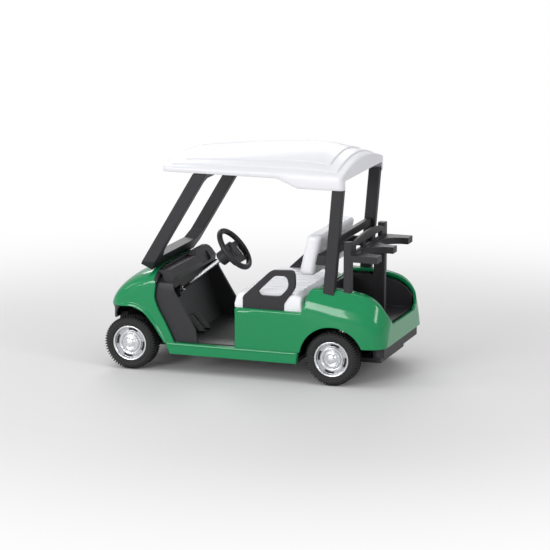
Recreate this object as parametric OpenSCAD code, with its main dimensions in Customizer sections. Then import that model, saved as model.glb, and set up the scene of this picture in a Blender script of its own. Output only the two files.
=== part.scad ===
// Model golf cart, two seats, open sides, roof on a raked screen frame and two rear posts
// Millimetres. X forward, Y to the left, Z up, origin on the ground under the middle

/* [Layout] */
// Distance between the front and rear axles
wheelbase = 109; // [95:1:125]
// Nose of the cart ahead of the front axle
front_overhang = 14; // [12:0.5:20]
// Tail of the cart behind the rear axle
rear_overhang = 27; // [22:0.5:34]
// Width over the outer faces of the tyres
face_w = 74; // [70:0.5:84]
// Width over the body panels
body_w = 72; // [66:0.5:76]
// Thickness of the body panels
skin = 1.8; // [1.2:0.1:2.6]

/* [Wheels] */
// Tyre outer diameter
tyre_d = 27.4; // [24:0.2:29]
// Tyre width
tyre_w = 10.4; // [8:0.2:12]
// Rim diameter where the tyre sits
rim_d = 18.4; // [15:0.2:20]
// Axle pin diameter
pin_d = 3; // [2:0.1:4]
// Radial gap of a turning pin in its bore
run_fit = 0.06; // [0.02:0.01:0.1]

/* [Front cowl] */
// Height of the cowl top at the screen
cowl_h = 53.2; // [48:0.2:58]
// Height of the lower edge of the nose
nose_z = 26.5; // [22:0.5:30]
// Top of the front wheel arch
front_arch_z = 33.1; // [31:0.1:36]
// Width of the raised lip round the front arch
arch_lip = 2; // [1:0.1:3]

/* [Sides] */
// Underside of the rocker panels
sill_z = 9.8; // [8:0.1:12]
// Height of the rocker panels
sill_h = 6; // [4:0.1:8]
// Top of the seat box
box_z = 36.4; // [32:0.2:40]
// Seat box front ahead of the rear axle
box_fwd = 52.2; // [46:0.2:57]
// Radius of the rear wheel arch
rear_arch_r = 17.4; // [16.6:0.1:19]

/* [Rear deck] */
// Height of the deck behind the seat
deck_z = 48.4; // [45:0.2:52]
// Floor height of the bag well
well_z = 30; // [27:0.5:34]
// Width of the bag well in a body of the standard width
well_w = 52; // [44:1:54]
// Length of the bag well
well_l = 38; // [30:0.5:39]

/* [Upper works] */
// Width over the screen frame
frame_w = 66; // [58:0.5:67]
// Width of a screen post seen from the front
screen_post_w = 5; // [3.5:0.1:7]
// Depth of a screen post along the cart
screen_post_d = 7.2; // [5:0.1:9]
// Underside of the roof at the front
roof_z = 104; // [96:0.5:110]
// Roof width
roof_w = 69; // [66:0.5:74]
// Height of the roof crown above its edge
roof_crown = 11; // [4:0.5:12]
// Drop of the roof sides at the rear
roof_drop = 4.5; // [2:0.1:7]
// Depth of a rear post along the cart
rear_post_d = 6; // [4:0.1:8]
// Width of a rear post
rear_post_w = 4; // [3:0.1:5]

/* [Seats] */
// Seat cushion thickness
cushion_h = 8.2; // [5:0.2:11]
// Seat cushion width
cushion_w = 67; // [58:0.5:68]
// Height of the seat back pads
pad_h = 21; // [14:0.5:24]
// Thickness of the seat back pads
pad_t = 8; // [5:0.2:9]
// Width of one seat back pad
pad_w = 27; // [20:0.5:27.5]
// Underside of the seat back pads
pad_z = 54; // [50:0.5:58]
// Thickness of a hip restraint
hip_t = 2.2; // [1.4:0.1:2.8]

/* [Steering] */
// Steering wheel diameter over the ring
wheel_d = 25; // [18:0.2:28]
// Thickness of the steering wheel ring
ring_d = 2.9; // [1.6:0.1:3.4]
// Steering shaft diameter
shaft_d = 2; // [1.4:0.1:2.6]
// Driver's distance from the middle of the cart
driver_y = 16; // [14:0.5:18]
// Length of the knuckle arm
arm_l = 7; // [6:0.1:8]

/* [Hidden] */
$fn = 64;
mid_shift = (rear_overhang - front_overhang) / 2;
fa = wheelbase / 2 + mid_shift;
ra = -wheelbase / 2 + mid_shift;
nose_x = fa + front_overhang;
tail_x = ra - rear_overhang;
axle_z = tyre_d / 2;
half_w = body_w / 2;
// The well, screen frame and roof keep their distance from the body sides
wider = half_w - 36;
well_half = well_w / 2 + wider;
frame_half = frame_w / 2 + wider;
roof_half = roof_w / 2 + wider;
sill_top = sill_z + sill_h;
box_x = ra + box_fwd;
seat_fit = 0.02;
king_in = 13.5;
king_y = face_w / 2 - king_in;
web_in = 5.6;
web_out = 3.7;

// Colours
green = [0.06, 0.45, 0.24];
white = [0.93, 0.93, 0.94];
black = [0.05, 0.05, 0.055];
rubber = [0.09, 0.09, 0.095];
bright = [0.85, 0.86, 0.88];
steel = [0.6, 0.61, 0.63];

// Prism of a side view outline in X and Z, from y0 to y1
module side_prism(pts, y0, y1) {
  translate([0, y1, 0])
    rotate([90, 0, 0])
      linear_extrude(y1 - y0)
        polygon(pts);
}

// Prism of a front view outline in Y and Z, from x0 to x1
module front_prism(pts, x0, x1) {
  translate([x0, 0, 0])
    rotate([90, 0, 90])
      linear_extrude(x1 - x0)
        polygon(pts);
}

// Box between two corners
module box(a, b) {
  translate(a)
    cube(b - a);
}

// Mirrored copy to the right side
module right_side() {
  mirror([0, 1, 0])
    children();
}

// Both sides
module both_sides() {
  children();
  right_side() children();
}

// Pillow outline of one cross section: side wall, rounded shoulder, crowned top
function half_arc(w, zs, zt, p, n) = [for (i = [0 : n])
  let (a = 90 * i / n)
  [w * pow(cos(a), 2 / p), zs + (zt - zs) * pow(sin(a), 2 / p)]];
function ring(x, w, zs, zt, zb, p, n) = let (h = half_arc(w, zs, zt, p, n))
  concat([[x, w, zb]], [for (q = h) [x, q[0], q[1]]],
    [for (i = [n - 1 : -1 : 0]) [x, -h[i][0], h[i][1]]], [[x, -w, zb]]);

// Solid through a row of rings that all have the same number of points
module loft(rings) {
  m = len(rings[0]);
  k = len(rings);
  pts = [for (r = rings) each r];
  skin_faces = [for (i = [0 : k - 2], j = [0 : m - 1])
    let (a = i * m + j, b = i * m + (j + 1) % m) each [[a, b + m, b], [a, a + m, b + m]]];
  first_cap = [[for (j = [0 : m - 1]) j]];
  last_cap = [[for (j = [m - 1 : -1 : 0]) (k - 1) * m + j]];
  polyhedron(pts, concat(skin_faces, first_cap, last_cap), 4);
}

// Front cowl stations: distance ahead of the axle, side inset, shoulder and top below the screen top
cowl_stations = [
  [-34, 0, 9.6, -0.8], [-14, 0, 9.8, 0], [-7, 0, 11.2, 1.6], [-1, 0, 13.2, 3.9],
  [4, 0.4, 15.7, 7], [8, 1.8, 18.7, 10.6], [11, 4.5, 22.2, 14.4], [13, 9, 25.2, 18.7],
  [14, 15, 28.2, 23.2]];
st_dx = 0;
st_in = 1;
st_sh = 2;
st_top = 3;
cowl_p = 3.5;
arc_n = 7;
nose_scale = front_overhang / 14;

// Outside of the cowl, drawn in by t all round
module cowl_form(t) {
  loft([for (s = cowl_stations)
    let (dx = s[st_dx] > 0 ? s[st_dx] * nose_scale : s[st_dx], back = t > 0 && s[st_dx] > 0)
    ring(fa + dx - (back ? t : 0), half_w - s[st_in] - t, cowl_h - s[st_sh] - t,
      cowl_h - s[st_top] - t, sill_z - 3 - t, cowl_p, arc_n)]);
}

// Side view of the front arch, from the rocker up and over to the nose
arch_dz = front_arch_z - 33.1;
arch_pts = [[fa - 18.9, 15.7], [fa - 12.3, 25.4 + arch_dz], [fa - 6.7, 30.9 + arch_dz],
  [fa, front_arch_z], [fa + 5, front_arch_z - 0.2]];
cowl_rear = [[fa - 14.1, cowl_h + 7], [fa - 14.1, cowl_h - 2.5], [fa - 13.5, 39.4], [fa - 15.1, 33.7],
  [fa - 19, 26.5], [fa - 24, 16.4], [fa - 24.3, sill_top]];
apron_w = 20;
apron_slant = 8;
lip_out = 0.7;
// Points of the arch pushed out by d along the mean of the neighbouring edges' normals
function unit(v) = v / norm(v);
function left_of(v) = [-v[1], v[0]];
function pushed(pts, d) = [for (i = [0 : len(pts) - 1])
  let (a = pts[max(i - 1, 0)], b = pts[min(i + 1, len(pts) - 1)]) pts[i] + d * left_of(unit(b - a))];

// Screen slab seen from the side
lean = (56.4 - 27.9) / (102.3 - 54.4);
lean_a = atan(lean);
screen_foot_z = cowl_h + 1.6;
screen_top_z = roof_z - 0.5;
screen_t = screen_post_d * cos(lean_a);
function screen_x(z) = fa - 4.6 - (z - cowl_h - 1.2) * lean;
screen_slab = [[screen_x(screen_foot_z), screen_foot_z], [screen_x(screen_top_z), screen_top_z],
  [screen_x(screen_top_z) - screen_post_d, screen_top_z],
  [screen_x(screen_foot_z) - screen_t * cos(lean_a), screen_foot_z - screen_t * sin(lean_a)]];

module front_cowl() {
  color(green) {
    difference() {
      intersection() {
        cowl_form(0);
        side_prism(concat(cowl_rear, [[nose_x + 9, sill_top], [nose_x + 9, cowl_h + 7]]), -50, 50);
      }
      cowl_form(skin);
      // open wheel arches
      both_sides()
        side_prism(concat([[fa - 26, 5]], [arch_pts[0]], [for (i = [1 : 4]) arch_pts[i]],
          [[nose_x + 9, front_arch_z - 0.2], [nose_x + 9, 5]]), apron_w + apron_slant, 50);
      // lower edge of the nose, rising towards the arches
      front_prism([[-apron_w, nose_z], [apron_w, nose_z],
        [apron_w + apron_slant, front_arch_z - 0.2], [60, front_arch_z - 0.2], [60, 0], [-60, 0],
        [-60, front_arch_z - 0.2], [-apron_w - apron_slant, front_arch_z - 0.2]], fa + 3, nose_x + 9);
      // seat of the screen frame
      side_prism(screen_slab, -frame_half - seat_fit, frame_half + seat_fit);
    }
    // raised lip round each arch
    both_sides()
      side_prism(concat(arch_pts, [for (i = [len(arch_pts) - 1 : -1 : 0]) pushed(arch_pts, arch_lip)[i]]),
        half_w - skin, half_w + lip_out);
  }
}

rocker_t = 3;
rocker_out = 0.7;

module rocker() {
  side_prism([[fa - 24.3 + sill_h * 0.8, sill_top], [fa - 24.3 + sill_h * 0.4, sill_z],
    [ra + rear_arch_r + 1.2, sill_z], [ra + rear_arch_r + 0.6, sill_top]],
    half_w - rocker_t, half_w + rocker_out);
}

module left_rocker() {
  color(green) rocker();
}

module right_rocker() {
  color(green) right_side() rocker();
}

well_x = tail_x + well_l;
deck_rim = 5.5;
step_x = well_x + deck_rim;
// Rear body stations: distance behind the axle, side inset, crease and top below the deck
rear_stations = [
  [step_x + 1.5 - ra, 0, 5, 0.4], [8, 0, 6.4, 0], [-1, 0, 8, 0], [-9, 0, 9.4, 0.9], [-16, 0, 11, 2.6],
  [-21, 0.8, 14, 5.6], [-25, 3.2, 18.4, 10.4], [-27, 7, 23, 15.4]];
// Side of one cross section: upright wall, leaning fender, creased edge, slope up to the deck
flare_in = 1;
slope_in = 0.55;
function rear_side(w, zs, zt) = let (d = w - flare_in - slope_in * (zt - zs))
  [[w, zs - 6], [w - flare_in * 0.5, zs - 2.4], [w - flare_in, zs - 0.4], [w - flare_in - 0.5, zs + 0.4],
    [d - 0.1, zt - 0.9], [d - 0.8, zt - 0.2], [d - 2, zt]];
function rear_ring(x, w, zs, zt, zb) = let (h = rear_side(w, zs, zt), n = len(h))
  concat([[x, w, zb]], [for (q = h) [x, q[0], q[1]]],
    [for (i = [n - 1 : -1 : 0]) [x, -h[i][0], h[i][1]]], [[x, -w, zb]]);
tail_scale = rear_overhang / 27;
tail_low_z = 20;

module rear_form(t) {
  loft([for (i = [len(rear_stations) - 1 : -1 : 0])
    let (s = rear_stations[i], dx = s[st_dx] < 0 ? s[st_dx] * tail_scale : s[st_dx],
      pull = s[st_dx] < -20 ? t : 0)
    rear_ring(ra + dx + pull, half_w - s[st_in] - t, deck_z - s[st_sh] - t, deck_z - s[st_top] - t,
      sill_top - 3 * t)]);
}

post_y = roof_half - 4.2;
post_lean = 4.2 / 50;
post_foot_z = deck_z - 8;
post_top_z = roof_z - roof_drop + 1.5;
function post_x(z) = ra + 5.8 - (z - deck_z) * post_lean;
post_slab = [[post_x(post_foot_z), post_foot_z], [post_x(post_top_z), post_top_z],
  [post_x(post_top_z) - rear_post_d, post_top_z], [post_x(post_foot_z) - rear_post_d, post_foot_z]];

module post_prism(g) {
  side_prism(post_slab, post_y - rear_post_w / 2 - g, post_y + rear_post_w / 2 + g);
}

module rear_body() {
  color(green)
    difference() {
      union() {
        // fenders, deck and tail
        difference() {
          rear_form(0);
          rear_form(skin);
          side_prism([[step_x + 9, 0], [step_x, box_z], [step_x - 2.6, box_z + 6.7],
            [step_x - 4, deck_z + 9], [step_x + 20, deck_z + 9], [step_x + 20, 0]], -50, 50);
        }
        // seat box: sides, front and top
        difference() {
          box([step_x - 1, -half_w, sill_top], [box_x, half_w, box_z]);
          box([step_x - 9, -half_w + skin, sill_top - 1], [box_x - skin, half_w - skin, box_z - skin]);
        }
        // front wall of the raised deck
        intersection() {
          rear_form(0);
          side_prism([[step_x, box_z - skin], [step_x - 2.6, box_z + 6.7], [step_x - 4, deck_z + 3],
            [well_x, deck_z + 3], [well_x, well_z - skin], [well_x + skin, well_z - skin],
            [well_x + skin, box_z - skin]], -50, 50);
        }
      }
      // rear wheel arches
      translate([ra, 0, axle_z - 0.9])
        rotate([90, 0, 0])
          cylinder(r = rear_arch_r, h = 100, center = true);
      // bag well, open to the rear, and the low rim in front of it
      box([tail_x - 9, -well_half, well_z], [well_x, well_half, deck_z + 9]);
      box([well_x - 1, -well_half, deck_z - 2.2], [step_x + 9, well_half, deck_z + 9]);
      // lower edge of the tail
      box([tail_x - 9, -50, 0], [ra - 10, 50, tail_low_z]);
      both_sides() post_prism(seat_fit);
      both_sides() rack_leg(seat_fit);
    }
}

// Line of the deck seen from the side, drawn down by d
function deck_line(d) = [for (s = rear_stations)
  [ra + (s[st_dx] < 0 ? s[st_dx] * tail_scale : s[st_dx]), deck_z - s[st_top] - d]];

module bag_well() {
  color(black)
    difference() {
      box([tail_x + 3, seat_fit - well_half, well_z - skin],
        [well_x - seat_fit, well_half - seat_fit, deck_z]);
      box([tail_x, -well_half + skin, well_z], [well_x - skin, well_half - skin, deck_z + 4]);
      side_prism(concat(deck_line(skin + 0.9),
        [[tail_x - 9, well_z], [tail_x - 9, deck_z + 9], [ra + 30, deck_z + 9]]), -50, 50);
    }
}

// Chassis
pan_t = 2.4;
tongue_w = 2 * (king_y - web_in) - 0.6;
pan_front = fa - 24.3;
pan_rear = ra + rear_arch_r + 1.4;
rear_tongue_w = face_w - 2 * tyre_w - 13.2;
bearing_w = 6;
bearing_h = 6;

module chassis_pan() {
  color(black)
    difference() {
      union() {
        box([pan_rear, rocker_t + 0.02 - half_w, sill_z],
          [pan_front + 1, half_w - rocker_t - 0.02, sill_z + pan_t]);
        box([pan_front, -tongue_w / 2, sill_z], [nose_x - 8, tongue_w / 2, sill_z + pan_t]);
        box([tail_x + 6, -rear_tongue_w / 2, sill_z], [pan_rear + 1, rear_tongue_w / 2, sill_z + pan_t]);
        // rear axle bearings
        for (s = [-1, 1])
          translate([ra, s * (rear_tongue_w - bearing_w) / 2, 0])
            box([-bearing_h / 2, -bearing_w / 2, sill_z],
              [bearing_h / 2, bearing_w / 2, axle_z + bearing_h / 2]);
        // tail carrier up to the bag well floor
        box([tail_x + 6, -rear_tongue_w / 2, sill_z], [tail_x + 10, rear_tongue_w / 2, well_z - skin]);
      }
      translate([ra, 0, axle_z])
        rotate([90, 0, 0])
          cylinder(d = pin_d + 2 * run_fit, h = 99, center = true);
    }
}

floor_x = fa - 26.5;

module floor() {
  color(black)
    box([box_x + seat_fit, rocker_t + 0.02 - half_w, sill_z + pan_t],
      [floor_x, half_w - rocker_t - 0.02, sill_top + 0.4]);
}

kick_out = half_w - skin - 0.2;
bulk_top = cowl_h - 3.2;
kick_top = cowl_h - 7.2;
bulk_pts = [[fa - 14.2, bulk_top], [fa - 16.2, bulk_top], [fa - 18, 36], [fa - 28, sill_z + pan_t],
  [fa - 25.6, sill_z + pan_t], [fa - 16, 36]];
col_a = 38.6;
col_pt = [fa - 50, driver_y, cowl_h + 9.4];
col_len = 36;

module on_column() {
  translate(col_pt)
    rotate([0, 90 + col_a, 0])
      children();
}

module bulkhead() {
  color(black)
    difference() {
      union() {
        side_prism(bulk_pts, -kick_out, kick_out);
        both_sides()
          side_prism([[fa - 22.5, kick_top], [fa - 23.4, kick_top - 4], [fa - 35, 23],
            [fa - 36.5, sill_top + 0.42], [fa - 22.6, sill_top + 0.42], [fa - 17, 26.5],
            [fa - 12.6, 36], [fa - 13.4, kick_top]],
            kick_out - 1.6, kick_out);
        intersection() {
          on_column() translate([0, 0, col_len - 1]) cylinder(d = shaft_d + 3, h = 14);
          side_prism([[fa - 21, cowl_h + 7], [fa - 21, 20], [fa - 16.2, 20], [fa - 16.2, cowl_h + 7]],
            0, half_w);
        }
      }
      on_column() cylinder(d = shaft_d + 2 * run_fit, h = 60);
      floor_gap();
      // upper corners under the cowl shoulder
      both_sides()
        front_prism([[half_w - 11, cowl_h - 2.7], [half_w - 6, cowl_h - 4.6], [half_w - 3, cowl_h - 7.4],
          [half_w - 1.9, cowl_h - 11.4], [half_w + 4, cowl_h - 11.4], [half_w + 4, cowl_h + 7],
          [half_w - 11, cowl_h + 7]], 0, 99);
    }
}

// Room for the floor plate and the pan below the bulkhead
module floor_gap() {
  box([box_x - 1, -50, 0], [floor_x + seat_fit, 50, sill_top + 0.42]);
  box([fa - 40, -50, 0], [fa, 50, sill_z + pan_t + seat_fit]);
  both_sides()
    box([fa - 40, half_w - rocker_t - 0.02, 0], [fa, 50, sill_top + seat_fit]);
}

dash_pts = [[fa - 14.12, bulk_top + seat_fit], [fa - 14.12, cowl_h - 1.4], [fa - 20, cowl_h - 0.7],
  [fa - 22.5, cowl_h - 4], [fa - 22, kick_top + 0.1], [fa - 16.74, kick_top + 0.1],
  [fa - 16.24, bulk_top + seat_fit]];
dash_high = [[fa - 15, cowl_h - 2], [fa - 15.4, cowl_h + 1.2], [fa - 18.4, cowl_h + 1.8],
  [fa - 20.2, cowl_h - 0.6], [fa - 20.2, cowl_h - 5]];
glove_y0 = -23;
glove_y1 = -10;

module dash() {
  a = frame_half - 2;
  color(black)
    difference() {
      union() {
        side_prism(dash_pts, -a, a);
        // raised passenger side with rounded upper corners
        intersection() {
          side_prism(dash_high, -a, -8);
          front_prism([[-a, cowl_h - 8], [-a, cowl_h - 1.6], [1.6 - a, cowl_h + 0.8],
            [4 - a, cowl_h + 1.8], [-11, cowl_h + 1.8], [-8, cowl_h - 0.8], [-8, cowl_h - 8]], 0, 99);
        }
      }
      // open glove box
      box([fa - 24, glove_y0, cowl_h - 5.4], [fa - 17.4, glove_y1, cowl_h - 0.6]);
    }
}

pedal_x = fa - 31;
pedal_a = 41;
pedal_l = 10.6;
pedal_w = 6.8;

module pedal(y) {
  translate([pedal_x, y, sill_top + 0.42]) {
    rotate([0, pedal_a, 0])
      box([-0.7, -pedal_w / 2, 1.4], [0.7, pedal_w / 2, pedal_l]);
    rotate([0, pedal_a, 0])
      box([-0.6, -1.4, 0.7], [0.6, 1.4, 5]);
    box([-1.5, -1.8, 0], [1.5, 1.8, 1.4]);
  }
}

module brake_pedal() {
  color(black) pedal(driver_y - 4);
}

module accelerator_pedal() {
  color(black) pedal(driver_y - 12);
}

bumper_half = king_y - 3.4;
bumper_z = 16;
bumper_t = 4;

module front_bumper() {
  color(black)
    difference() {
      intersection() {
        cowl_form(skin + 0.2);
        box([fa + 6, -bumper_half, bumper_z], [nose_x + 5, bumper_half, nose_z - seat_fit]);
      }
      cowl_form(skin + bumper_t);
    }
  color(black)
    box([nose_x - 8, -tongue_w / 2, sill_z], [nose_x - 5, tongue_w / 2, bumper_z + 2]);
}

module rear_bumper() {
  color(black)
    box([tail_x + 1.5, -29, 14.5], [tail_x + 6, 29, tail_low_z - 0.02]);
}

screen_open_z = cowl_h + 5.3;
screen_cut = 4;

module screen_frame() {
  a = frame_half;
  b = a - screen_post_w;
  t = screen_top_z - 3.2;
  color(black)
    intersection() {
      side_prism(screen_slab, -a, a);
      difference() {
        front_prism([[2.5 - a, 0], [a - 2.5, 0], [a - 2.5, screen_foot_z - 2.4], [a, screen_foot_z + 1.4],
          [a, 200], [-a, 200], [-a, screen_foot_z + 1.4], [2.5 - a, screen_foot_z - 2.4]], 0, 99);
        front_prism([[-b + screen_cut, screen_open_z], [b - screen_cut, screen_open_z],
          [b, screen_open_z + screen_cut], [b, t - 2], [b - 2, t], [2 - b, t], [-b, t - 2],
          [-b, screen_open_z + screen_cut]], -9, 120);
      }
    }
}

// Roof stations: share of the length from the front, share of the crown
roof_stations = [[0, 0.3], [0.06, 0.42], [0.16, 0.57], [0.3, 0.72], [0.45, 0.86], [0.6, 0.96],
  [0.7, 1], [0.79, 0.97], [0.87, 0.84], [0.94, 0.66], [1, 0.46]];
roof_x0 = fa - 17.6;
roof_x1 = ra - 5;
roof_edge = 2.6;
roof_t = 2;

function roof_ring(x, c, t, zb) = let (n = 9, w = roof_half - t)
  concat([[x, w, zb]], [for (i = [-n : n]) let (f = abs(i) / n)
    [x, -w * sign(i) * pow(f, 0.8), roof_z + roof_edge - t + c * roof_crown * (1 - pow(f, 2))]],
    [[x, -w, zb]]);

module roof_form(t) {
  loft([for (i = [len(roof_stations) - 1 : -1 : 0])
    let (s = roof_stations[i], x = roof_x0 + (roof_x1 - roof_x0) * s[0],
      pull = i == 0 ? -t : i == len(roof_stations) - 1 ? t : 0)
    roof_ring(x + pull, s[1], t, roof_z - 20)]);
}

module roof() {
  color(white) {
    // sockets over the screen frame and the rear posts
    intersection() {
      roof_form(roof_t / 2);
      union() {
        box([screen_x(screen_top_z) - screen_post_d, -roof_half + roof_t + 1, screen_top_z + seat_fit],
          [screen_x(screen_top_z), roof_half - roof_t - 1, roof_z + 30]);
        both_sides()
          box([post_x(post_top_z) - rear_post_d, post_y - rear_post_w / 2, post_top_z + seat_fit],
            [post_x(post_top_z), post_y + rear_post_w / 2, roof_z + 30]);
      }
    }
    difference() {
      roof_form(0);
      roof_form(roof_t);
      side_prism([[roof_x0 + 9, 0], [roof_x0 + 9, roof_z], [ra + 30, roof_z], [ra + 19, roof_z - roof_drop],
        [roof_x1 - 9, roof_z - roof_drop], [roof_x1 - 9, 0]], -50, 50);
      box([roof_x1 - 9, -roof_half + roof_t, 0], [roof_x1 + 4, roof_half - roof_t, roof_z + 0.4]);
    }
  }
}

module left_rear_post() {
  color(black) post_prism(0);
}

module right_rear_post() {
  color(black) right_side() post_prism(0);
}

bar_z = pad_z + 17;
bar_h = 3.8;
bar_t = 3;

module rear_cross_bar() {
  x = post_x(bar_z) - rear_post_d / 2;
  y = post_y - rear_post_w / 2 - seat_fit;
  color(black)
    box([x - bar_t / 2, -y, bar_z], [x + bar_t / 2, y, bar_z + bar_h]);
}

// Seats
cushion_x0 = box_x + 0.8;
cushion_x1 = step_x - 0.2;

module cushion_profile() {
  polygon([[cushion_x1, box_z], [cushion_x0 - 0.6, box_z], [cushion_x0, box_z + 2.4],
    [cushion_x0 - 1, box_z + cushion_h - 2], [cushion_x0 - 3.4, box_z + cushion_h],
    [cushion_x1 + 4, box_z + cushion_h + 0.6], [cushion_x1 + 0.8, box_z + cushion_h - 1.4]]);
}

channel_n = 9;
channel_w = 0.5;
channel_d = 0.35;

module seat_cushion() {
  c = cushion_w / 2;
  h = box_z + cushion_h;
  color(white)
    difference() {
      intersection() {
        translate([0, c, 0])
          rotate([90, 0, 0])
            linear_extrude(cushion_w)
              cushion_profile();
        front_prism([[-c, box_z], [c, box_z], [c, h - 2.4], [c - 0.8, h - 0.8], [c - 2.4, h],
          [c - 5, h + 0.6], [5 - c, h + 0.6], [2.4 - c, h], [0.8 - c, h - 0.8], [-c, h - 2.4]],
          cushion_x1 - 9, cushion_x0 + 9);
      }
      deck_clear();
      both_sides() hip_slab(seat_fit);
      // channels along the top
      for (i = [1 : channel_n - 1])
        translate([0, -c + 4 + (cushion_w - 8) * i / channel_n, 0])
          box([cushion_x1 + 4, -channel_w / 2, h + 0.1 - channel_d],
            [cushion_x0 - 4, channel_w / 2, h + 5]);
    }
}

// Room for the raised deck behind the cushion
module deck_clear() {
  side_prism([[step_x, box_z - 1], [step_x - 2.6, box_z + 6.7], [step_x - 4, deck_z + 9],
    [step_x - 30, deck_z + 9], [step_x - 30, box_z - 1]], -50, 50);
}

pad_lean = 4.2;
pad_x = ra + 20.4;
pad_channel_n = 5;

module pad_solid(y0, w) {
  x = pad_x;
  side_prism([[x, pad_z + 1.5], [x - 1.4, pad_z], [x - pad_t + 0.8, pad_z], [x - pad_t, pad_z + 1.4],
    [x - pad_lean - pad_t, pad_z + pad_h - 1.6], [x - pad_lean - pad_t + 1.6, pad_z + pad_h],
    [x - pad_lean - 2, pad_z + pad_h], [x - pad_lean, pad_z + pad_h - 2]], y0, y0 + w);
}

module pad(y0) {
  difference() {
    intersection() {
      pad_solid(y0, pad_w);
      front_prism([[y0, pad_z + 2], [y0 + 2, pad_z], [y0 + pad_w - 2, pad_z], [y0 + pad_w, pad_z + 2],
        [y0 + pad_w, pad_z + pad_h - 3], [y0 + pad_w - 3, pad_z + pad_h],
        [y0 + 3, pad_z + pad_h], [y0, pad_z + pad_h - 3]], pad_x - 40, pad_x + 9);
    }
    // channels across the front
    for (i = [1 : pad_channel_n])
      let (z = pad_z + pad_h * i / (pad_channel_n + 1), x = pad_x - pad_lean * (z - pad_z) / pad_h)
        box([x - channel_d, y0 + 3, z - channel_w / 2], [x + 3, y0 + pad_w - 3, z + channel_w / 2]);
  }
}

module left_seat_back() {
  color(white) pad(1);
}

module right_seat_back() {
  color(white) right_side() pad(1);
}

rail_z = pad_z + 6;
rail_h = 5;

module seat_back_rail() {
  x = pad_x - pad_t - pad_lean * (rail_z - pad_z) / pad_h;
  y = post_y - rear_post_w / 2 - seat_fit;
  color(black)
    difference() {
      union() {
        box([x - 2.6, -y, rail_z], [x + 1.5, y, rail_z + rail_h]);
        both_sides()
          box([post_x(rail_z) - 4, y - 2.4, rail_z], [x - 1, y, rail_z + rail_h]);
      }
      both_sides() pad_solid(0, pad_w + 9);
    }
}

hip_x = box_x - 4.1;
hip_in = 4.4;
hip_pts = [[0, -5], [0, 6], [-15.3, 20.3], [-25.5, 21], [-27.8, 18.7], [-27.9, 11.7],
  [-22.1, 3.4], [-22.1, -5]];
hip_hole = [[-7.8, 8.6], [-17, 17.7], [-23.8, 17.8], [-24.7, 12.3], [-20, 7], [-9.3, 6.8]];

hip_round = 2;
hip_hole_round = 1.6;

// Outline with its convex corners rounded to r, drawn out by g
module softened(pts, r, g) {
  offset(r = r + g)
    offset(delta = -r)
      polygon(pts);
}

// Outside of a restraint grown by g, with its outer side left open when g is above 0
module hip_slab(g) {
  translate([hip_x, half_w - hip_in + (g > 0 ? 30 : hip_t), box_z])
    rotate([90, 0, 0])
      linear_extrude((g > 0 ? 30 : hip_t) + g)
        difference() {
          softened(hip_pts, hip_round, g);
          translate([-50, -50])
            square([100, 50]);
        }
}

module hip_restraint() {
  difference() {
    hip_slab(0);
    translate([hip_x, 60, box_z])
      rotate([90, 0, 0])
        linear_extrude(60)
          softened(hip_hole, hip_hole_round, 0);
  }
}

module left_hip_restraint() {
  color(black) hip_restraint();
}

module right_hip_restraint() {
  color(black) right_side() hip_restraint();
}

// Bag rack
leg_y = well_half + 2.6;
leg_x = ra - 4.4;
leg_d = 3.8;
leg_w = 4.2;
rack_z = 63;
rack_t = 3.4;
rack_top = 73;
cup_r = 10;
rack_rear = tail_x + 5;

module rack_leg(g) {
  box([leg_x - leg_d - g, leg_y - leg_w / 2 - g, deck_z - 5], [leg_x + g, leg_y + leg_w / 2 + g, rack_top]);
}

module bag_rack() {
  color(black) {
    both_sides() rack_leg(0);
    // arched panel with windows
    difference() {
      front_prism(concat([[-leg_y, rack_z], [leg_y, rack_z]],
        [for (i = [0 : 12]) [leg_y * cos(15 * i), rack_top - 4 + 5 * sin(15 * i)]]),
        leg_x - leg_d, leg_x - leg_d + 1.6);
      for (y = [-16, 0, 16])
        box([leg_x - 9, y - 5.6, rack_z + rack_t + 0.8], [leg_x + 9, y + 5.6, rack_top - 3.2]);
    }
    // side arms and twin cradles
    difference() {
      box([rack_rear, -leg_y - leg_w / 2, rack_z], [leg_x - 1, leg_y + leg_w / 2, rack_z + rack_t]);
      for (y = [-13, 13])
        translate([rack_rear + 2, y, 0])
          cylinder(r = cup_r, h = 99);
      box([leg_x - leg_d + 1.6, -leg_y + leg_w / 2, 0], [leg_x, leg_y - leg_w / 2, 99]);
    }
  }
}

module bag_divider() {
  color(black)
    box([ra - 17, -1.6, well_z + seat_fit], [ra - 11, 1.6, rack_z - seat_fit]);
}

// Front axle
king_d = 2.8;
arm_in = 1.6;
arm_t = 1.5;
arm_pin_d = 1.6;
beam_w = 5;
ear_t = 1.6;
block_h = 5.6;
steer_z = axle_z;
ear_gap = 0.2;
ear_z0 = steer_z - block_h / 2 - ear_t - ear_gap;
ear_z1 = steer_z + block_h / 2 + ear_t + ear_gap;

module front_beam() {
  color(black)
    difference() {
      union() {
        box([fa - beam_w / 2, web_out - king_y, sill_z + pan_t],
          [fa + beam_w / 2, king_y - web_out, ear_z1]);
        both_sides()
          box([fa - beam_w / 2, king_y - web_in, ear_z0], [fa + beam_w / 2, king_y - web_out, ear_z1]);
        both_sides()
          for (z = [ear_z0, ear_z1 - ear_t])
            translate([fa, 0, z]) {
              translate([0, king_y, 0])
                cylinder(r = beam_w / 2, h = ear_t);
              box([-beam_w / 2, king_y - 5, 0], [beam_w / 2, king_y, ear_t]);
            }
      }
      both_sides()
        translate([fa, king_y, 0])
          cylinder(d = king_d + 2 * run_fit, h = 99);
    }
}

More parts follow.
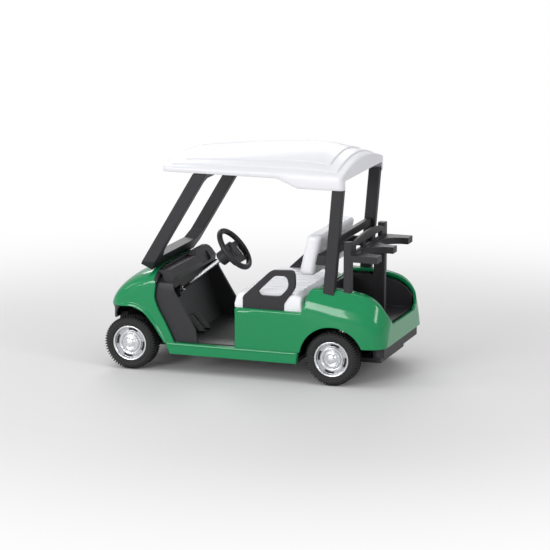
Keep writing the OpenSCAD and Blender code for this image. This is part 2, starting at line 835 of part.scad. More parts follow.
module knuckle() {
  translate([fa, king_y, steer_z]) {
    cylinder(d = king_d, h = block_h + 2 * ear_t + 0.4, center = true);
    box([-2.2, -2, -block_h / 2], [2.2, 2.2, block_h / 2]);
    rotate([-90, 0, 0]) {
      cylinder(d = pin_d, h = face_w / 2 - king_y - 2.6);
      cylinder(d = pin_d + 2, h = face_w / 2 - king_y - hub_depth - 0.3);
    }
    // steering arm and its pin
    box([-arm_l - 1.2, -arm_in - 0.9, -block_h / 2], [0, 0.9 - arm_in, arm_t - block_h / 2]);
    translate([-arm_l, -arm_in, -block_h / 2])
      cylinder(d = arm_pin_d, h = 4);
  }
}

module left_knuckle() {
  color(steel) knuckle();
}

module right_knuckle() {
  color(steel) right_side() knuckle();
}

rod_y = king_y - arm_in;
slot_x0 = -arm_pin_d / 2 - 0.3;
slot_x1 = arm_pin_d / 2 + 0.19 * arm_l;
slot_y = arm_pin_d / 2 + 0.35;
rod_edge = 0.9;

module tie_rod() {
  z = steer_z - block_h / 2 + arm_t + 0.3;
  color(steel)
    translate([fa - arm_l, 0, z])
      difference() {
        box([slot_x0 - rod_edge, -rod_y - slot_y - rod_edge, 0],
          [slot_x1 + rod_edge, rod_y + slot_y + rod_edge, 1.4]);
        both_sides()
          translate([0, rod_y, -1])
            box([slot_x0, -slot_y, 0], [slot_x1, slot_y, 4]);
        box([rod_edge, -rod_y + 4, -1], [slot_x1 + 4, rod_y - 4, 4]);
      }
}

module steering_shaft() {
  color(bright)
    on_column()
      translate([0, 0, 2.5])
        cylinder(d = shaft_d, h = col_len + 6);
}

wheel_hub_r = 4.6;
boss_r = 3.8;
boss_len = 4.6;
plate_up = 3.6;
plate_down = 7.4;
plate_t = 1.7;
slot_up = 1.2;
slot_down = 5.4;
slot_in = 7.2;

// Wheel seen along the column, its upper side towards minus x
module steering_wheel() {
  ring_r = (wheel_d - ring_d) / 2;
  color(black)
    on_column() {
      rotate_extrude()
        translate([ring_r, 0])
          circle(d = ring_d, $fn = 32);
      // broad cross plate with a slot at each end
      intersection() {
        cylinder(r = ring_r, h = 9);
        difference() {
          box([-plate_up, -ring_r, 0.2], [plate_down, ring_r, 0.2 + plate_t]);
          for (s = [-1, 1])
            translate([0, s * (slot_in + ring_r - ring_d / 2) / 2, 0])
              box([-slot_up, -(ring_r - ring_d / 2 - slot_in) / 2, -1],
                [slot_down, (ring_r - ring_d / 2 - slot_in) / 2, 9]);
        }
      }
      difference() {
        union() {
          translate([0, 0, -0.6])
            cylinder(r1 = wheel_hub_r - 1.2, r2 = wheel_hub_r, h = 0.8);
          translate([0, 0, 0.2])
            cylinder(r = wheel_hub_r, h = 2.8);
          translate([0, 0, 3])
            cylinder(r = boss_r - 1, h = 1.6);
          translate([0, 0, 4.6])
            cylinder(r = boss_r, h = boss_len);
        }
        translate([0, 0, 2.5])
          cylinder(d = shaft_d + 2 * seat_fit, h = 20);
      }
    }
}

module rear_axle() {
  color(steel)
    translate([ra, 0, axle_z])
      rotate([90, 0, 0])
        cylinder(d = pin_d, h = face_w - 4.4, center = true);
}

// Wheel, outer face at z = 0, inner face at z = tyre_w, axis along z
shoulder = 2.4;

module tyre_solid() {
  rotate_extrude()
    polygon([[rim_d / 2, 0.9], [rim_d / 2 + 0.6, 0.2], [tyre_d / 2 - shoulder, 0],
      [tyre_d / 2 - 0.7, 0.8], [tyre_d / 2, shoulder], [tyre_d / 2, tyre_w - shoulder],
      [tyre_d / 2 - 0.7, tyre_w - 0.8], [tyre_d / 2 - shoulder, tyre_w], [rim_d / 2 + 0.6, tyre_w - 0.2],
      [rim_d / 2, tyre_w - 0.9]]);
}

rim_gap = 0.02;
hub_r = 3.2;
hub_depth = 7.2;

module rim_solid(hole_d) {
  r = rim_d / 2 - rim_gap;
  difference() {
    rotate_extrude()
      polygon([[0, 0.6], [1.6, 0.8], [2.8, 1.5], [3, 2], [5, 2.2], [5.4, 1.6], [5.9, 1.7], [6.4, 2.4],
        [r - 1.1, 2.4], [r - 0.9, 1], [r - 0.4, 0.7], [r, 1], [r, tyre_w - 1], [r - 1.2, tyre_w - 1],
        [r - 1.4, 4.2], [hub_r, 4.2], [hub_r, hub_depth], [0, hub_depth]]);
    // four arc slots
    for (a = [0 : 90 : 270])
      rotate([0, 0, a + 15])
        intersection() {
          difference() {
            translate([0, 0, 1.8])
              cylinder(r = r - 1.3, h = 2);
            cylinder(r = 6.5, h = 9);
          }
          linear_extrude(9)
            polygon([[0, 0], [20, -9.5], [20, 9.5]]);
        }
    translate([0, 0, 2.2 - rim_gap])
      cylinder(d = hole_d, h = 20);
  }
}

// Places a wheel with its outer face on the left
module at_wheel(x) {
  translate([x, face_w / 2, axle_z])
    rotate([90, 0, 0])
      children();
}

free_bore = pin_d + 2 * run_fit;
tight_bore = pin_d + 2 * seat_fit;

module front_left_tyre() {
  color(rubber) at_wheel(fa) tyre_solid();
}

module front_right_tyre() {
  color(rubber) right_side() at_wheel(fa) tyre_solid();
}

module rear_left_tyre() {
  color(rubber) at_wheel(ra) tyre_solid();
}

module rear_right_tyre() {
  color(rubber) right_side() at_wheel(ra) tyre_solid();
}

module front_left_rim() {
  color(bright) at_wheel(fa) rim_solid(free_bore);
}

module front_right_rim() {
  color(bright) right_side() at_wheel(fa) rim_solid(free_bore);
}

module rear_left_rim() {
  color(bright) at_wheel(ra) rim_solid(tight_bore);
}

module rear_right_rim() {
  color(bright) right_side() at_wheel(ra) rim_solid(tight_bore);
}

chassis_pan();
front_cowl();
left_rocker();
right_rocker();
rear_body();
front_bumper();
rear_bumper();
floor();
bulkhead();
dash();
brake_pedal();
accelerator_pedal();
screen_frame();
roof();
left_rear_post();
right_rear_post();
rear_cross_bar();
seat_cushion();
left_seat_back();
right_seat_back();
seat_back_rail();
left_hip_restraint();
right_hip_restraint();
bag_well();
bag_rack();
bag_divider();
front_beam();
left_knuckle();
right_knuckle();
tie_rod();
steering_wheel();
steering_shaft();
rear_axle();
front_left_tyre();
front_right_tyre();
rear_left_tyre();
rear_right_tyre();
front_left_rim();
front_right_rim();
rear_left_rim();
rear_right_rim();
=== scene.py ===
import math

import bmesh
import bpy
import numpy as np
from mathutils import Matrix, Vector


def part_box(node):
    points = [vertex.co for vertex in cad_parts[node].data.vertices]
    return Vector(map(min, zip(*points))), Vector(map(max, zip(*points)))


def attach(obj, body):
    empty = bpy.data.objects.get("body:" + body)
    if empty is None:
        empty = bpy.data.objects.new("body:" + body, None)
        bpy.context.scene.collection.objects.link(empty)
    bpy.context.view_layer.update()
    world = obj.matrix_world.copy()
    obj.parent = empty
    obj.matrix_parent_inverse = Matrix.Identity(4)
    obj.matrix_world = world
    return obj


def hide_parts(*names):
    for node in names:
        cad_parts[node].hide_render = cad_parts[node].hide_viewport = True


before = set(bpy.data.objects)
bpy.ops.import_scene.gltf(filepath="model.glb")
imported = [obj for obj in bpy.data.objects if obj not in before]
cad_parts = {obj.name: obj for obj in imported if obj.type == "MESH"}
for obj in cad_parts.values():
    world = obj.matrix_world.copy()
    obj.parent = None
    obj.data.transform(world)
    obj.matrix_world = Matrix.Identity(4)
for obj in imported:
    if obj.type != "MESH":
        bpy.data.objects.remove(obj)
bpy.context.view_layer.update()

bl_info = {
    "name": "Model golf cart finish",
    "version": (1, 0, 0),
    "blender": (4, 5, 0),
    "location": "View3D > Sidebar > Golf cart",
    "description": "Moulded panels, seats, wheels and studio of a model golf cart",
    "category": "Add Mesh",
}

MM = 0.001


def box_mm(node):
    """Lowest and highest corner of a CAD node in millimetres."""
    low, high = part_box(node)
    return np.array(low) / MM, np.array(high) / MM


# Places that the panels follow, in millimetres, taken from the frame
TYRE_LOW, TYRE_HIGH = box_mm("front_left_tyre")
REAR_LOW, REAR_HIGH = box_mm("rear_left_tyre")
ROCKER_LOW, ROCKER_HIGH = box_mm("left_rocker")
BODY_LOW, BODY_HIGH = box_mm("rear_body")
ROOF_LOW, ROOF_HIGH = box_mm("roof")
FRONT_X = (TYRE_LOW[0] + TYRE_HIGH[0]) / 2
REAR_X = (REAR_LOW[0] + REAR_HIGH[0]) / 2
AXLE_Z = (TYRE_LOW[2] + TYRE_HIGH[2]) / 2
TYRE_R = (TYRE_HIGH[0] - TYRE_LOW[0]) / 2
TYRE_W = TYRE_HIGH[1] - TYRE_LOW[1]
WHEEL_FACE = TYRE_HIGH[1]
HALF_W = BODY_HIGH[1]
SILL_TOP = ROCKER_HIGH[2]
BOX_X = BODY_HIGH[0]
TAIL_X = BODY_LOW[0]
COWL_H = 53.2
BOX_Z = 36.4
STEP_X = REAR_X + 16.5
WELL_X = TAIL_X + 38
WELL_EDGE = 26
TAIL_Z = 20

# Camera fitted to the wheels and edges of the cart
CAMERA_AT = (-505.1, 1429.3, 366.3)
CAMERA_AZIMUTH = 19.27
CAMERA_ELEVATION = 11.91
CAMERA_ROLL = 0.09
CAMERA_LENS = 196.4


def length_property(name, description, size):
    """A length, given in millimetres."""
    return bpy.props.FloatProperty(
        name=name, description=description, default=size * MM, unit="LENGTH")


def count_property(name, description, number, low, high):
    """A whole number between two limits."""
    return bpy.props.IntProperty(
        name=name, description=description, default=number, min=low, max=high)


def colour_property(name, description, tint):
    """An opaque colour."""
    return bpy.props.FloatVectorProperty(
        name=name, description=description, subtype="COLOR", size=4, default=tint + (1,), min=0, max=1)


class CartSizes(bpy.types.PropertyGroup):
    """Sizes of the moulded details"""

    wall: length_property("Panel wall", "Thickness of the moulded body panels", 1.5)
    lip: length_property("Arch lip", "Height of the lip round the front arches", 0.85)
    channel: length_property("Channel depth", "Depth of the channels in the seats", 0.75)
    roof_step: length_property("Roof step", "Height of each raised step of the roof", 0.55)
    lugs: count_property("Shoulder ribs", "Ribs round each shoulder of a tyre", 60, 8, 120)
    floor_ribs: count_property("Floor ribs", "Ribs across the floor mat", 22, 4, 60)


class CartColours(bpy.types.PropertyGroup):
    """Colours of the finishes"""

    enamel: colour_property("Body green", "Gloss green of the body panels", (0.004, 0.25, 0.085))
    # The roof and the seats are one white plastic with two whites: the seat white is painted paler,
    # painted light that makes up for the shade the roof casts on the seats.
    white: colour_property("White plastic", "Roof", (0.77, 0.77, 0.8))
    seat: colour_property("Seat white", "Moulded cushion and seat backs", (0.88, 0.88, 0.91))
    black: colour_property("Black trim", "Satin black frames and trays", (0.02, 0.019, 0.022))
    rubber: colour_property("Tyre rubber", "Dark grey tyres", (0.07, 0.064, 0.072))
    bright: colour_property("Bright metal", "Plated rims and steering shaft", (0.84, 0.85, 0.87))
    # Steel also colours the darker rings of the rims, which are painted shade.
    steel: colour_property("Steel", "Axle pins and links", (0.46, 0.47, 0.49))
    floor: colour_property("Studio floor", "Pale floor under the cart", (0.72, 0.71, 0.71))


# Curves and surfaces

def smooth_through(keys, values, at):
    """Values at given places on a curve through keyed values that doesn't overshoot."""
    keys = np.asarray(keys, float)
    values = np.asarray(values, float)
    at = np.clip(np.asarray(at, float), keys[0], keys[-1])
    step = np.diff(keys)
    slope = np.diff(values) / step
    tangent = np.zeros(len(keys))
    for i in range(1, len(keys) - 1):
        if slope[i - 1] * slope[i] > 0:
            before, after = 2 * step[i] + step[i - 1], step[i] + 2 * step[i - 1]
            tangent[i] = (before + after) / (before / slope[i - 1] + after / slope[i])
    tangent[0], tangent[-1] = slope[0], slope[-1]
    i = np.clip(np.searchsorted(keys, at, side="right") - 1, 0, len(keys) - 2)
    t = (at - keys[i]) / step[i]
    return ((1 + 2 * t) * (1 - t) ** 2 * values[i] + t * (1 - t) ** 2 * step[i] * tangent[i]
            + t * t * (3 - 2 * t) * values[i + 1] + t * t * (t - 1) * step[i] * tangent[i + 1])


def soft_step(value, low, high):
    """0 below low, 1 above high, smooth between."""
    t = np.clip((np.asarray(value, float) - low) / (high - low), 0, 1)
    return t * t * (3 - 2 * t)


def spaced(path, distances):
    """Points of a path at the given lengths from its start."""
    path = np.asarray(path, float)
    length = np.concatenate([[0], np.cumsum(np.linalg.norm(np.diff(path, axis=0), axis=1))])
    return np.stack([np.interp(distances, length, path[:, k]) for k in range(3)], 1), length[-1]


def path_rows(path, near, count):
    """A path cut into rows: fixed distances near its start, then even ones."""
    _, total = spaced(path, [0])
    near = np.asarray(near, float) * min(1, total / (3 * near[-1]))
    return np.concatenate([near, np.linspace(near[-1], total, count + 1)[1:]])


def corner_curve(start, corner, end, steps):
    """Points of a soft corner from its start to its end."""
    return [(1 - t) ** 2 * start + 2 * t * (1 - t) * corner + t * t * end
            for t in (k / steps for k in range(steps + 1))]


def rounded(points, radii, arc=6):
    """A closed outline with each corner rounded to its radius."""
    points = [np.asarray(p, float) for p in points]
    out = []
    for i, corner in enumerate(points):
        before, after = points[i - 1] - corner, points[(i + 1) % len(points)] - corner
        lb, la = np.linalg.norm(before), np.linalg.norm(after)
        half = math.acos(np.clip(np.dot(before, after) / lb / la, -1, 1)) / 2
        reach = min(radii[i] / math.tan(half), 0.48 * lb, 0.48 * la)
        start, end = corner + before / lb * reach, corner + after / la * reach
        out += corner_curve(start, corner, end, arc)
    return np.array(out)


def refined(outline, pitch):
    """A closed outline with points added so that none are further apart than pitch."""
    out = []
    for i, p in enumerate(outline):
        q = outline[(i + 1) % len(outline)]
        n = max(1, int(np.linalg.norm(q - p) // pitch))
        out += [p + (q - p) * k / n for k in range(n)]
    return np.array(out)


def outline_normals(outline):
    """Outward normals of a closed outline that runs anticlockwise."""
    along = np.roll(outline, -1, 0) - np.roll(outline, 1, 0)
    normal = np.stack([along[:, 1], -along[:, 0]], 1)
    x, y = outline[:, 0], outline[:, 1]
    area = np.sum(x * np.roll(y, -1) - np.roll(x, -1) * y)
    length = np.linalg.norm(normal, axis=1, keepdims=True)
    return normal / np.maximum(length, 1e-9) * (1 if area > 0 else -1)


def round_in(radius, distance):
    """How far a rounded edge lies in at a distance from its end."""
    near = max(0, radius - distance)
    return radius - math.sqrt(max(0, radius ** 2 - near ** 2))


def at_y(outline, y):
    """An outline seen from the side, set at a place across the cart."""
    return np.stack([outline[:, 0], np.full(len(outline), y), outline[:, 1]], 1)


# Meshes and pieces

def new_mesh(name, points, faces):
    """A mesh from points in millimetres, merged, with its faces turned outwards."""
    mesh = bpy.data.meshes.new(name)
    mesh.from_pydata((np.asarray(points, float) * MM).tolist(), [], [tuple(f) for f in faces])
    shape = bmesh.new()
    shape.from_mesh(mesh)
    bmesh.ops.remove_doubles(shape, verts=shape.verts, dist=0.004 * MM)
    bmesh.ops.dissolve_degenerate(shape, edges=shape.edges, dist=0.002 * MM)
    bmesh.ops.recalc_face_normals(shape, faces=shape.faces)
    shape.to_mesh(mesh)
    shape.free()
    return mesh


def grid_faces(columns, rows, closed_rows=False, closed_columns=False):
    """Quads of a grid whose points run column by column."""
    faces = []
    for i in range(columns if closed_columns else columns - 1):
        j0, j1 = i * rows, (i + 1) % columns * rows
        for k in range(rows if closed_rows else rows - 1):
            m = (k + 1) % rows
            faces.append((j0 + k, j1 + k, j1 + m, j0 + m))
    return faces


def lofted(loops):
    """Points and faces of a closed body through loops of equal length, with flat ends."""
    rows = len(loops[0])
    faces = grid_faces(len(loops), rows, closed_rows=True)
    faces.append(tuple(range(rows)))
    last = (len(loops) - 1) * rows
    faces.append(tuple(last + k for k in reversed(range(rows))))
    return np.concatenate(loops), faces


def both_sides(columns):
    """Points and faces of a sheet through columns of points, with its copy on the right side."""
    points, faces = np.concatenate(columns), grid_faces(len(columns), len(columns[0]))
    count = len(points)
    return (np.concatenate([points, points * (1, -1, 1)]),
            faces + [tuple(count + i for i in reversed(f)) for f in faces])


def evaluated(obj):
    """Turns an object's modifiers into a plain mesh and takes them off."""
    graph = bpy.context.evaluated_depsgraph_get()
    graph.update()
    mesh = bpy.data.meshes.new_from_object(obj.evaluated_get(graph), depsgraph=graph)
    obj.modifiers.clear()
    old = obj.data
    obj.data = mesh
    mesh.name = obj.name
    bpy.data.meshes.remove(old)
    return obj


def linked(name, mesh):
    """A new object at the origin."""
    obj = bpy.data.objects.new(name, mesh)
    bpy.context.scene.collection.objects.link(obj)
    return obj


def made(name, points, faces):
    """A new object from points in millimetres and its faces."""
    return linked(name, new_mesh(name, points, faces))


def finished(obj, finish, body, nodes=(), sharp=35):
    """Gives a piece its finish, body, material slot and the nodes that it stands for."""
    mesh = obj.data
    mesh.materials.clear()
    mesh.materials.append(finish)
    mesh.polygons.foreach_set("use_smooth", [True] * len(mesh.polygons))
    mesh.set_sharp_from_angle(angle=math.radians(sharp))
    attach(obj, body)
    if nodes:
        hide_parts(*nodes)
    return obj


def walled(obj, wall, edge, angle=60):
    """Gives an open panel its wall, drawn inwards, and rounds its free edges."""
    solid = obj.modifiers.new("wall", "SOLIDIFY")
    solid.thickness = wall
    solid.offset = -1
    bevel_edges(obj, edge, angle, 2)
    return evaluated(obj)


def bevel_edges(obj, width, angle, segments):
    """Rounds edges that turn by more than an angle."""
    bevel = obj.modifiers.new("edge", "BEVEL")
    bevel.width = width
    bevel.segments = segments
    bevel.limit_method = "ANGLE"
    bevel.angle_limit = math.radians(angle)
    bevel.use_clamp_overlap = True
    bevel.harden_normals = False


def eased(obj, width, angle=28, segments=3):
    """Rounds an object's edges as a moulding's are and keeps its flat faces flat."""
    obj.data.polygons.foreach_set("use_smooth", [True] * len(obj.data.polygons))
    bevel_edges(obj, width, angle, segments)
    weight = obj.modifiers.new("flat", "WEIGHTED_NORMAL")
    weight.keep_sharp = False
    weight.weight = 90
    return evaluated(obj)


def eased_copy(node, name, width, angle=28, segments=3):
    """A copy of a CAD node, merged, with its edges rounded as a moulding's are."""
    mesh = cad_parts[node].data.copy()
    shape = bmesh.new()
    shape.from_mesh(mesh)
    bmesh.ops.remove_doubles(shape, verts=shape.verts, dist=0.003 * MM)
    bmesh.ops.dissolve_limit(shape, angle_limit=math.radians(0.6), verts=shape.verts, edges=shape.edges)
    shape.to_mesh(mesh)
    shape.free()
    if "custom_normal" in mesh.attributes:
        mesh.attributes.remove(mesh.attributes["custom_normal"])
    return eased(linked(name, mesh), width, angle, segments)


def revolved(name, profile, at, turned, segments=96):
    """A body of revolution: profile of radius and depth, from its outer face inwards along Y."""
    points = []
    for i in range(segments):
        a = 2 * math.pi * i / segments
        for r, depth in profile:
            points.append((at[0] + r * math.cos(a), at[1] - turned * depth, at[2] + r * math.sin(a)))
    return made(name, points, grid_faces(segments, len(profile), closed_columns=True))


def joined(name, objects):
    """Joins objects into the first one under a new name."""
    shape = bmesh.new()
    for o in objects:
        shape.from_mesh(o.data)
    mesh = bpy.data.meshes.new(name)
    shape.to_mesh(mesh)
    shape.free()
    for o in objects:
        old = o.data
        bpy.data.objects.remove(o)
        bpy.data.meshes.remove(old)
    return linked(name, mesh)


# Geometry Nodes

def node_chain(name, inputs):
    """A geometry tree with named inputs; returns the tree, its input and its output node."""
    tree = bpy.data.node_groups.new(name, "GeometryNodeTree")
    for label, kind, default in inputs:
        socket = tree.interface.new_socket(label, in_out="INPUT", socket_type=kind)
        if default is not None:
            socket.default_value = default
    tree.interface.new_socket("Geometry", in_out="OUTPUT", socket_type="NodeSocketGeometry")
    return tree, tree.nodes.new("NodeGroupInput"), tree.nodes.new("NodeGroupOutput")


def grown(name, tree, values):
    """An object made by a geometry tree, as a plain mesh."""
    obj = linked(name, bpy.data.meshes.new(name))
    grow = obj.modifiers.new("grow", "NODES")
    grow.node_group = tree
    for item in tree.interface.items_tree:
        if item.in_out == "INPUT" and item.name in values:
            grow[item.identifier] = values[item.name]
    return evaluated(obj)


# Half diagonal of a square of side 1, which is a four-sided cone's radius
SQUARE = 0.7071


def preset(node, values):
    """Sets inputs of a node by name or place."""
    for socket, value in values.items():
        node.inputs[socket].default_value = value


def wire(tree, *links):
    """Links nodes of a tree, each link as node, output, node, input."""
    for source, out, target, socket in links:
        tree.links.new(source.outputs[out], target.inputs[socket])


def tapered_rib(tree, source, top):
    """A square rib that narrows to its top, scaled by the tree's Rib input."""
    rib, square, size = [
        tree.nodes.new("GeometryNode" + kind) for kind in ("MeshCone", "Transform", "Transform")]
    preset(rib, {"Vertices": 4, "Radius Top": top, "Radius Bottom": SQUARE, "Depth": 1})
    preset(square, {"Rotation": (0, 0, math.radians(45))})
    wire(tree, (rib, "Mesh", square, "Geometry"), (square, "Geometry", size, "Geometry"),
         (source, "Rib", size, "Scale"))
    return size


def spread_ribs(tree, points, rib, aim, rotation):
    """Ribs on the points of a mesh, turned by a node's output and made real."""
    spread, real = [
        tree.nodes.new("GeometryNode" + kind) for kind in ("InstanceOnPoints", "RealizeInstances")]
    wire(tree, (points, "Mesh", spread, "Points"), (rib, "Geometry", spread, "Instance"),
         (aim, rotation, spread, "Rotation"), (spread, "Instances", real, "Geometry"))
    return real


def painted(tree, source, out, shape):
    """Gives a node's geometry the tree's Finish input and sends it out."""
    paint = tree.nodes.new("GeometryNodeSetMaterial")
    wire(tree, (shape, "Geometry", paint, "Geometry"), (source, "Finish", paint, "Material"),
         (paint, "Geometry", out, "Geometry"))
    return tree


def rib_ring_tree():
    """Tapered ribs set round a circle in the XZ plane, each pointing outwards."""
    tree, source, out = node_chain("rib_ring", [
        ("Count", "NodeSocketInt", 60), ("Radius", "NodeSocketFloat", 0.013),
        ("Turn", "NodeSocketFloat", 0.0), ("Offset", "NodeSocketVector", (0, 0, 0)),
        ("Rib", "NodeSocketVector", (0.001, 0.003, 0.001)), ("Finish", "NodeSocketMaterial", None)])
    ring, place, aim, across, spin, turn, stand = [tree.nodes.new(kind) for kind in (
        "GeometryNodeMeshCircle", "GeometryNodeInputPosition", "FunctionNodeAlignRotationToVector",
        "FunctionNodeAlignRotationToVector", "ShaderNodeCombineXYZ", "GeometryNodeTransform",
        "GeometryNodeTransform")]
    aim.axis, aim.pivot_axis = "Z", "AUTO"
    across.axis, across.pivot_axis = "Y", "Z"
    preset(across, {"Vector": (0, 0, 1)})
    preset(stand, {"Rotation": (math.radians(90), 0, 0)})
    ribs = spread_ribs(tree, ring, tapered_rib(tree, source, 0.5), across, "Rotation")
    wire(tree, (source, "Count", ring, "Vertices"), (source, "Radius", ring, "Radius"),
         (place, "Position", aim, "Vector"), (aim, "Rotation", across, "Rotation"),
         (source, "Turn", spin, "Z"), (ribs, "Geometry", turn, "Geometry"),
         (spin, "Vector", turn, "Rotation"), (turn, "Geometry", stand, "Geometry"),
         (source, "Offset", stand, "Translation"))
    return painted(tree, source, out, stand)


def rib_row_tree():
    """A row of low ribs from a first point on, tilted as one."""
    tree, source, out = node_chain("rib_row", [
        ("Count", "NodeSocketInt", 8), ("First", "NodeSocketVector", (0, 0, 0)),
        ("Step", "NodeSocketVector", (0, 0, 0)), ("Rib", "NodeSocketVector", (0.001, 0.01, 0.001)),
        ("Tilt", "NodeSocketVector", (0, 0, 0)), ("Finish", "NodeSocketMaterial", None)])
    line = tree.nodes.new("GeometryNodeMeshLine")
    line.mode = "OFFSET"
    wire(tree, (source, "Count", line, "Count"), (source, "First", line, "Start Location"),
         (source, "Step", line, "Offset"))
    return painted(tree, source, out, spread_ribs(
        tree, line, tapered_rib(tree, source, 0.45), source, "Tilt"))


# Finishes

def grain_group():
    """Shader group: soft patches and fine grain over a surface, from object coordinates."""
    if "moulded_grain" in bpy.data.node_groups:
        return bpy.data.node_groups["moulded_grain"]
    group = bpy.data.node_groups.new("moulded_grain", "ShaderNodeTree")
    sockets = group.interface.new_socket
    sockets("Vector", in_out="INPUT", socket_type="NodeSocketVector")
    sockets("Patch Scale", in_out="INPUT", socket_type="NodeSocketFloat").default_value = 40
    sockets("Grain Scale", in_out="INPUT", socket_type="NodeSocketFloat").default_value = 1500
    sockets("Patch", in_out="OUTPUT", socket_type="NodeSocketFloat")
    sockets("Grain", in_out="OUTPUT", socket_type="NodeSocketFloat")
    source, out, patch, grain, pits, both = [group.nodes.new(kind) for kind in (
        "NodeGroupInput", "NodeGroupOutput", "ShaderNodeTexNoise", "ShaderNodeTexNoise",
        "ShaderNodeTexVoronoi", "ShaderNodeMath")]
    preset(patch, {"Detail": 3})
    preset(grain, {"Detail": 2})
    for texture, scale in ((patch, "Patch Scale"), (grain, "Grain Scale"), (pits, "Grain Scale")):
        wire(group, (source, "Vector", texture, "Vector"), (source, scale, texture, "Scale"))
    both.operation = "MULTIPLY_ADD"
    preset(both, {1: PIT_SHARE})
    wire(group, (pits, "Distance", both, 0), (grain, "Fac", both, 2), (patch, "Fac", out, "Patch"),
         (both, "Value", out, "Grain"))
    return group


# Each finish: colour, roughness, roughness spread, shade of patches, patch scale, grain scale,
# bump, coat, metal, specular
FINISHES = {
    "green_enamel": ("enamel", 0.2, 0.05, 0.9, 22, 420, 0.03, 0.5, 0, 0.2),
    "white_moulding": ("white", 0.36, 0.08, 0.955, 30, 900, 0.05, 0.1, 0, 0.4),
    # Same moulding as the roof in a paler white: painted light against the roof's shade on the seats
    "white_seat": ("seat", 0.36, 0.08, 0.955, 30, 900, 0.05, 0.1, 0, 0.4),
    "black_satin": ("black", 0.45, 0.12, 0.8, 45, 2600, 0.14, 0, 0, 0.4),
    "tyre_rubber": ("rubber", 0.7, 0.12, 0.78, 60, 2200, 0.3, 0, 0, 0.35),
    "bright_plate": ("bright", 0.26, 0.06, 0.95, 70, 700, 0.012, 0, 1, 0.5),
    # Darker plate for the rims' slotted ring and valley: painted shade
    "satin_plate": ("steel", 0.4, 0.08, 0.9, 70, 900, 0.03, 0, 1, 0.5),
    "pin_steel": ("steel", 0.34, 0.1, 0.85, 90, 1600, 0.08, 0, 1, 0.5),
}
PIT_SHARE = 0.5
RELIEF = 0.2
COAT_ROUGHNESS = 0.04


def finish(name):
    """A material by name, built once."""
    if name in bpy.data.materials:
        return bpy.data.materials[name]
    colour, rough, spread, shade, patches, grains, bump, coat, metal, specular = FINISHES[name]
    tint = tuple(getattr(bpy.context.scene.cart_colours, colour))
    material = bpy.data.materials.new(name)
    material.use_nodes = True
    material.diffuse_color = tint
    tree = material.node_tree
    surface = tree.nodes["Principled BSDF"]
    place, grain, mix, vary, relief = [tree.nodes.new("ShaderNode" + kind) for kind in (
        "TexCoord", "Group", "Mix", "Math", "Bump")]
    grain.node_tree = grain_group()
    mix.data_type = "RGBA"
    vary.operation = "MULTIPLY_ADD"
    preset(grain, {"Patch Scale": patches, "Grain Scale": grains})
    preset(mix, {"A": tint, "B": tuple(c * shade for c in tint[:3]) + (1,)})
    preset(vary, {1: spread, 2: rough - spread / 2})
    preset(relief, {"Strength": bump, "Distance": RELIEF * MM})
    preset(surface, {"Metallic": metal, "Specular IOR Level": specular, "Coat Weight": coat,
                     "Coat Roughness": COAT_ROUGHNESS})
    wire(tree, (place, "Object", grain, "Vector"), (grain, "Patch", mix, "Factor"),
         (mix, "Result", surface, "Base Color"), (grain, "Grain", vary, 0),
         (vary, "Value", surface, "Roughness"), (grain, "Grain", relief, "Height"),
         (relief, "Normal", surface, "Normal"))
    return material


def dressed(obj, name, body="chassis", nodes=(), sharp=35):
    """Finishes a piece with a named finish in its material slot."""
    return finished(obj, finish(name), body, nodes, sharp)


# Front cowl: station, side inset, shoulder and top below the screen's foot, from the axle
COWL_STATIONS = np.array([
    (-34, 0, 9.6, -0.8), (-14, 0, 9.8, 0), (-7, 0, 11.2, 1.6), (-1, 0, 13.2, 3.9),
    (4, 0.4, 15.7, 7), (8, 1.8, 18.7, 10.6), (11, 4.5, 22.2, 14.4), (13, 9, 25.2, 18.7),
    (14, 15, 28.2, 23.2), (13.6, 16, 28.2, 26.7)])
COWL_ROUND = 3.5
# Front arch seen from the side, from the axle
ARCH_X = (-18.9, -12.3, -6.7, 0, 5)
ARCH_Z = (15.7, 25.4, 30.9, 33.1, 32.9)
NOSE_Z = 26.8
APRON = 20
APRON_SLANT = 8
# Matched places on the arch edge and on the rear and centre edge: arch station, then station
# and height or share
COWL_EDGES = (
    (-18.9, -24.3, 15.8, None), (-18.3, -23.9, 16.6, None), (-12.9, -19, 26.5, None),
    (-8.8, -15.1, 33.7, None), (-6, -13.5, 39.4, None), (-3.8, -14, 44.5, None),
    (-2.2, -14.1, None, 0.6), (-0.5, -14.1, None, 1), (6, 0, None, 1), (None, None, None, 1))


# Section of the arch lip: distance from the arch edge and share of the lip's height
LIP_ROWS = (0, 0.12, 0.3, 0.6, 1.1, 1.35, 1.5, 1.9, 2.1, 2.5)
LIP_RAISE = (0.55, 0.95, 1.1, 1.06, 0.92, 0.85, 0.7, 0.14, 0.02, 0)
PANEL_EDGE = 0.3


def section_point(width, shoulder, top, share, power):
    """A point of a pillow section: shares under 0 on the wall, 0 at the shoulder, 1 in the middle."""
    if share <= 0:
        return width, shoulder + share * (top - shoulder) * (math.pi / 2) ** (2 / power)
    a = math.pi / 2 * min(share, 1) ** (power / 2)
    return (width * max(math.cos(a), 0) ** (2 / power),
            shoulder + (top - shoulder) * math.sin(a) ** (2 / power))


def solve(low, high, test):
    """Where a rising test passes zero."""
    for _ in range(44):
        mid = (low + high) / 2
        if test(mid) < 0:
            low = mid
        else:
            high = mid
    return (low + high) / 2


def cowl_point(q, share):
    """A point of the cowl's outside at a station index and section share."""
    dx, inset, shoulder, top = [
        float(smooth_through(range(len(COWL_STATIONS)), COWL_STATIONS[:, k], q)) for k in range(4)]
    y, z = section_point(HALF_W - inset, COWL_H - shoulder, COWL_H - top, share, COWL_ROUND)
    return np.array((FRONT_X + dx, y, z))


def cowl_station(dx):
    """Station index at a distance from the axle."""
    return solve(0, len(COWL_STATIONS) - 2, lambda q: cowl_point(q, 0)[0] - FRONT_X - dx)


